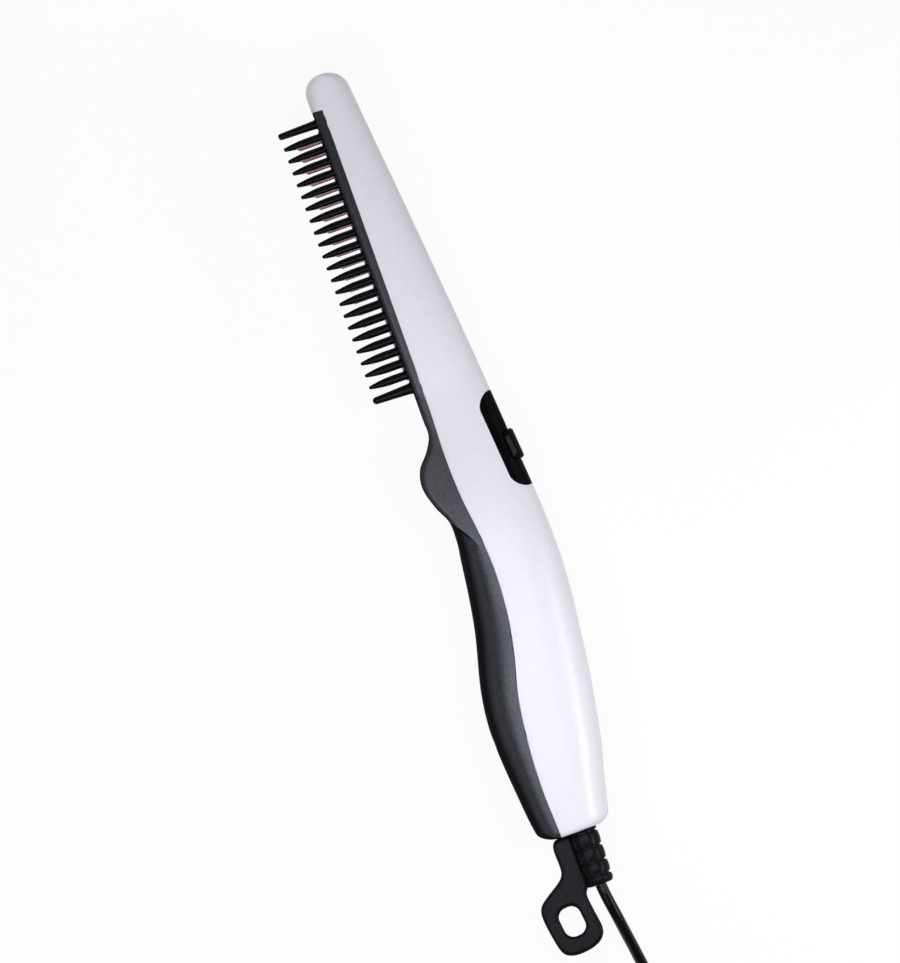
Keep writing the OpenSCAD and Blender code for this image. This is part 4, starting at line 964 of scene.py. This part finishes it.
finishes = {
    "white_plastic": dict(
        dark=(0.78, 0.775, 0.85), light=(0.8, 0.795, 0.87), rough=0.36, roughSpread=0.04, scale=500,
        depth=0.03, broadScale=40),
    # soft grip: its sides darken as painted shade
    "soft_grip": dict(
        dark=(0.058, 0.06, 0.07), light=(0.084, 0.087, 0.102), rough=0.47, roughSpread=0.04,
        scale=2200, depth=0.2, broadScale=90, broadDepth=0.03, speck=(0.4, 0.66), metal=0.92,
        specular=0.2, tint=(0.02, 0.02, 0.03), sides=(0.4, 0.78)),
    "tooth_plastic": dict(
        dark=(0.006, 0.0066, 0.0085), light=(0.009, 0.0098, 0.012), rough=0.3, depth=0.08,
        broadScale=70, broadDepth=0.04, metal=0.7, specular=0.1, tint=(0.05, 0.05, 0.06)),
    "black_plastic": dict(
        dark=(0.008, 0.008, 0.0095), light=(0.012, 0.012, 0.014), rough=0.3, scale=700, depth=0.04,
        broadScale=70, broadDepth=0.04, metal=0.85, specular=0.1, tint=(0.03, 0.03, 0.04)),
    "soft_black_plastic": dict(
        dark=(0.014, 0.014, 0.015), light=(0.02, 0.02, 0.022), rough=0.5, scale=1200, depth=0.2),
    "rose_coating": dict(
        dark=(0.22, 0.06, 0.075), light=(0.34, 0.11, 0.13), rough=0.34, roughSpread=0.08,
        scale=1500, depth=0.25, broadScale=90, broadDepth=0.05),
    "heat_proof_plastic": dict(
        dark=(0.6, 0.52, 0.36), light=(0.68, 0.6, 0.44), rough=0.55, scale=700, depth=0.15),
    "pale_plastic": dict(
        dark=(0.72, 0.7, 0.64), light=(0.78, 0.76, 0.7), rough=0.42, scale=700, depth=0.08),
    "red_plastic": dict(
        dark=(0.45, 0.05, 0.04), light=(0.52, 0.07, 0.05), rough=0.35, scale=700, depth=0.08),
    "plug_plastic": dict(
        dark=(0.013, 0.013, 0.014), light=(0.019, 0.019, 0.021), rough=0.42, scale=1100,
        depth=0.25),
    "ceramic": dict(
        dark=(0.16, 0.16, 0.17), light=(0.28, 0.28, 0.3), rough=0.7, scale=1500, depth=0.4),
    "mica": dict(dark=(0.5, 0.42, 0.25), light=(0.7, 0.62, 0.45), rough=0.25, scale=300, coat=0.4),
    "brass": dict(
        dark=(0.6, 0.42, 0.16), light=(0.7, 0.52, 0.24), rough=0.3, scale=800, depth=0.06, metal=1),
    "steel": dict(dark=(0.5, 0.5, 0.51), light=(0.6, 0.6, 0.61), rough=0.32, depth=0.08, metal=1),
    "nickel": dict(
        dark=(0.62, 0.6, 0.57), light=(0.7, 0.68, 0.65), rough=0.18, scale=700, depth=0.04,
        metal=1),
    "board": dict(
        dark=(0.02, 0.12, 0.05), light=(0.03, 0.17, 0.07), rough=0.35, depth=0.08, coat=0.3),
    "parts_on_board": dict(
        dark=(0.02, 0.04, 0.16), light=(0.04, 0.07, 0.22), rough=0.35, scale=800, depth=0.06),
    "cord_sheath": dict(
        dark=(0.005, 0.005, 0.006), light=(0.008, 0.008, 0.009), rough=0.13, roughSpread=0.03,
        scale=1300, depth=0.03, broadScale=120, broadDepth=0.01, metal=0.3, specular=0.9,
        tint=(0.2, 0.2, 0.22)),
    # relief rubber: its sides darken as painted shade
    "relief_rubber": dict(
        dark=(0.009, 0.0095, 0.0108), light=(0.0125, 0.013, 0.0145), rough=0.28, scale=1300,
        depth=0.06, broadScale=90, broadDepth=0.05, metal=0.4, specular=0.12, tint=(0.1, 0.1, 0.12),
        sides=(0.25, 0.65)),
    "brown_sheath": dict(dark=(0.12, 0.05, 0.02), light=(0.16, 0.07, 0.03), rough=0.35, depth=0.06),
    "blue_sheath": dict(dark=(0.02, 0.08, 0.32), light=(0.03, 0.11, 0.4), rough=0.35, depth=0.06),
    "pale_sheath": dict(dark=(0.66, 0.66, 0.6), light=(0.74, 0.74, 0.68), rough=0.4, depth=0.06),
}
surface = surfaceGroup()
materials = {}
for slotName, changes in finishes.items():
    first, *others = slotName.split("_")
    name = first + "".join(word.capitalize() for word in others)
    materials[slotName] = makeMaterial(name, surface, changes)
print("materials:", len(materials))


def paint(piece, slotName):
    piece.data.materials.clear()
    piece.data.materials.append(materials[slotName])


# everything on the body, the camera and the cord first
makeCamera()
mainsCord, cordLength, cordPath = makeCord()
paint(mainsCord, "cord_sheath")
for part in frame["record"]["subparts"]:
    paint(nodes[part["node"]], part["material_slot"])
paint(makeWhiteShell(), "white_plastic")
print("white shell done")
paint(makeGripCover(), "soft_grip")
print("grip cover done")
paint(makeCombGuard(), "soft_grip")
rows = rowTree()
for row in makeTeeth(rows, materials["tooth_plastic"]):
    paint(row, "tooth_plastic")
paint(makeHeaterPlate(rows, materials["rose_coating"]), "rose_coating")
print("comb done")
paint(makePanel(), "black_plastic")
paint(makeKnob(), "black_plastic")
print("switch done")
paint(makeRelief(), "relief_rubber")
print("strain relief done")


# floor and light: a wide lamp close above the handle, so that the light falls off towards the head,
# a long strip before the comb and one behind it, and a weak lamp beyond the tip
studio = {
    "floor": 6, "floorSeen": 0.9, "floorBounce": 0.35, "floorWhite": 0.93, "floorRough": 0.9,
    "floorSpecular": 0.1, "walls": 1, "wallTop": (0.05, 0.22), "ceiling": 0.08,
    "lights": {  # place, the point it aims at, size and power
        "key": ((-0.06, -0.02, 0.42), (-0.06, -0.02, 0), (0.22, 0.36), 1.06),
        "front": ((-0.1, 0.22, 0.36), (-0.1, 0, 0.01), (0.4, 0.04), 0.42),
        "back": ((-0.16, -0.26, 0.16), (-0.1, 0, 0.01), (0.2, 0.06), 0.4),
        "head": ((0.3, 0, 0.1), (0.14, 0, 0.01), (0.08, 0.08), 0.09),
    },
}


def seenDirectly(tree):
    # 1 where the camera sees the surface itself, in a reflection or through glass
    path = tree.nodes.new("ShaderNodeLightPath")
    seen = path.outputs["Is Camera Ray"]
    for ray in ("Is Glossy Ray", "Is Transmission Ray"):
        either = tree.nodes.new("ShaderNodeMath")
        either.operation = "MAXIMUM"
        tree.links.new(seen, either.inputs[0])
        tree.links.new(path.outputs[ray], either.inputs[1])
        seen = either.outputs[0]
    return seen


def makeFloor():
    half = studio["floor"] / 2
    work = bmesh.new()
    work.faces.new([work.verts.new((x * half, y * half, 0))
                    for x, y in ((-1, -1), (1, -1), (1, 1), (-1, 1))])
    floor = addObject("floor", finished(work, "floor"))
    material, tree, shader = newMaterial("floor")
    setInputs(shader, {"Roughness": studio["floorRough"],
                       "Specular IOR Level": studio["floorSpecular"]})
    glow, mix = addNodes(tree, "ShaderNodeEmission", "ShaderNodeMixShader")
    seen = seenDirectly(tree)
    tone = rampBetween(tree, seen, 0, 1, studio["floorBounce"], studio["floorSeen"])
    white = rampBetween(tree, seen, 0, 1, 0, studio["floorWhite"])
    tree.links.new(tone, shader.inputs["Base Color"])
    tree.links.new(white, mix.inputs[0])
    linkAll(tree, (shader, 0, mix, 1), (glow, 0, mix, 2), (mix, 0, tree.nodes["Material Output"], 0))
    floor.data.materials.append(material)


def makeLights():
    for name, (place, aim, size, power) in studio["lights"].items():
        lamp = bpy.data.lights.new(name, "AREA")
        lamp.shape = "RECTANGLE"
        lamp.size, lamp.size_y = size
        lamp.energy = power
        light = addObject(name, lamp)
        light.location = place
        light.rotation_euler = (Vector(aim) - Vector(place)).to_track_quat("-Z", "Y").to_euler()
        light.visible_camera = False


def makeWalls():
    # white all round up to a low height, and darker above
    world = bpy.data.worlds.new("studio")
    bpy.context.scene.world = world
    world.use_nodes = True
    tree = world.node_tree
    back = tree.nodes["Background"]
    setInputs(back, {"Color": (1, 1, 1, 1)})
    towards, height = addNodes(tree, "ShaderNodeTexCoord", "ShaderNodeSeparateXYZ")
    strength = rampBetween(tree, height.outputs["Z"], *studio["wallTop"], studio["walls"],
                           studio["ceiling"])
    linkAll(tree, (towards, "Generated", height, 0))
    tree.links.new(strength, back.inputs["Strength"])


makeFloor()
makeLights()
makeWalls()
bpy.context.scene.view_settings.view_transform = "Standard"
print("floor and light done")
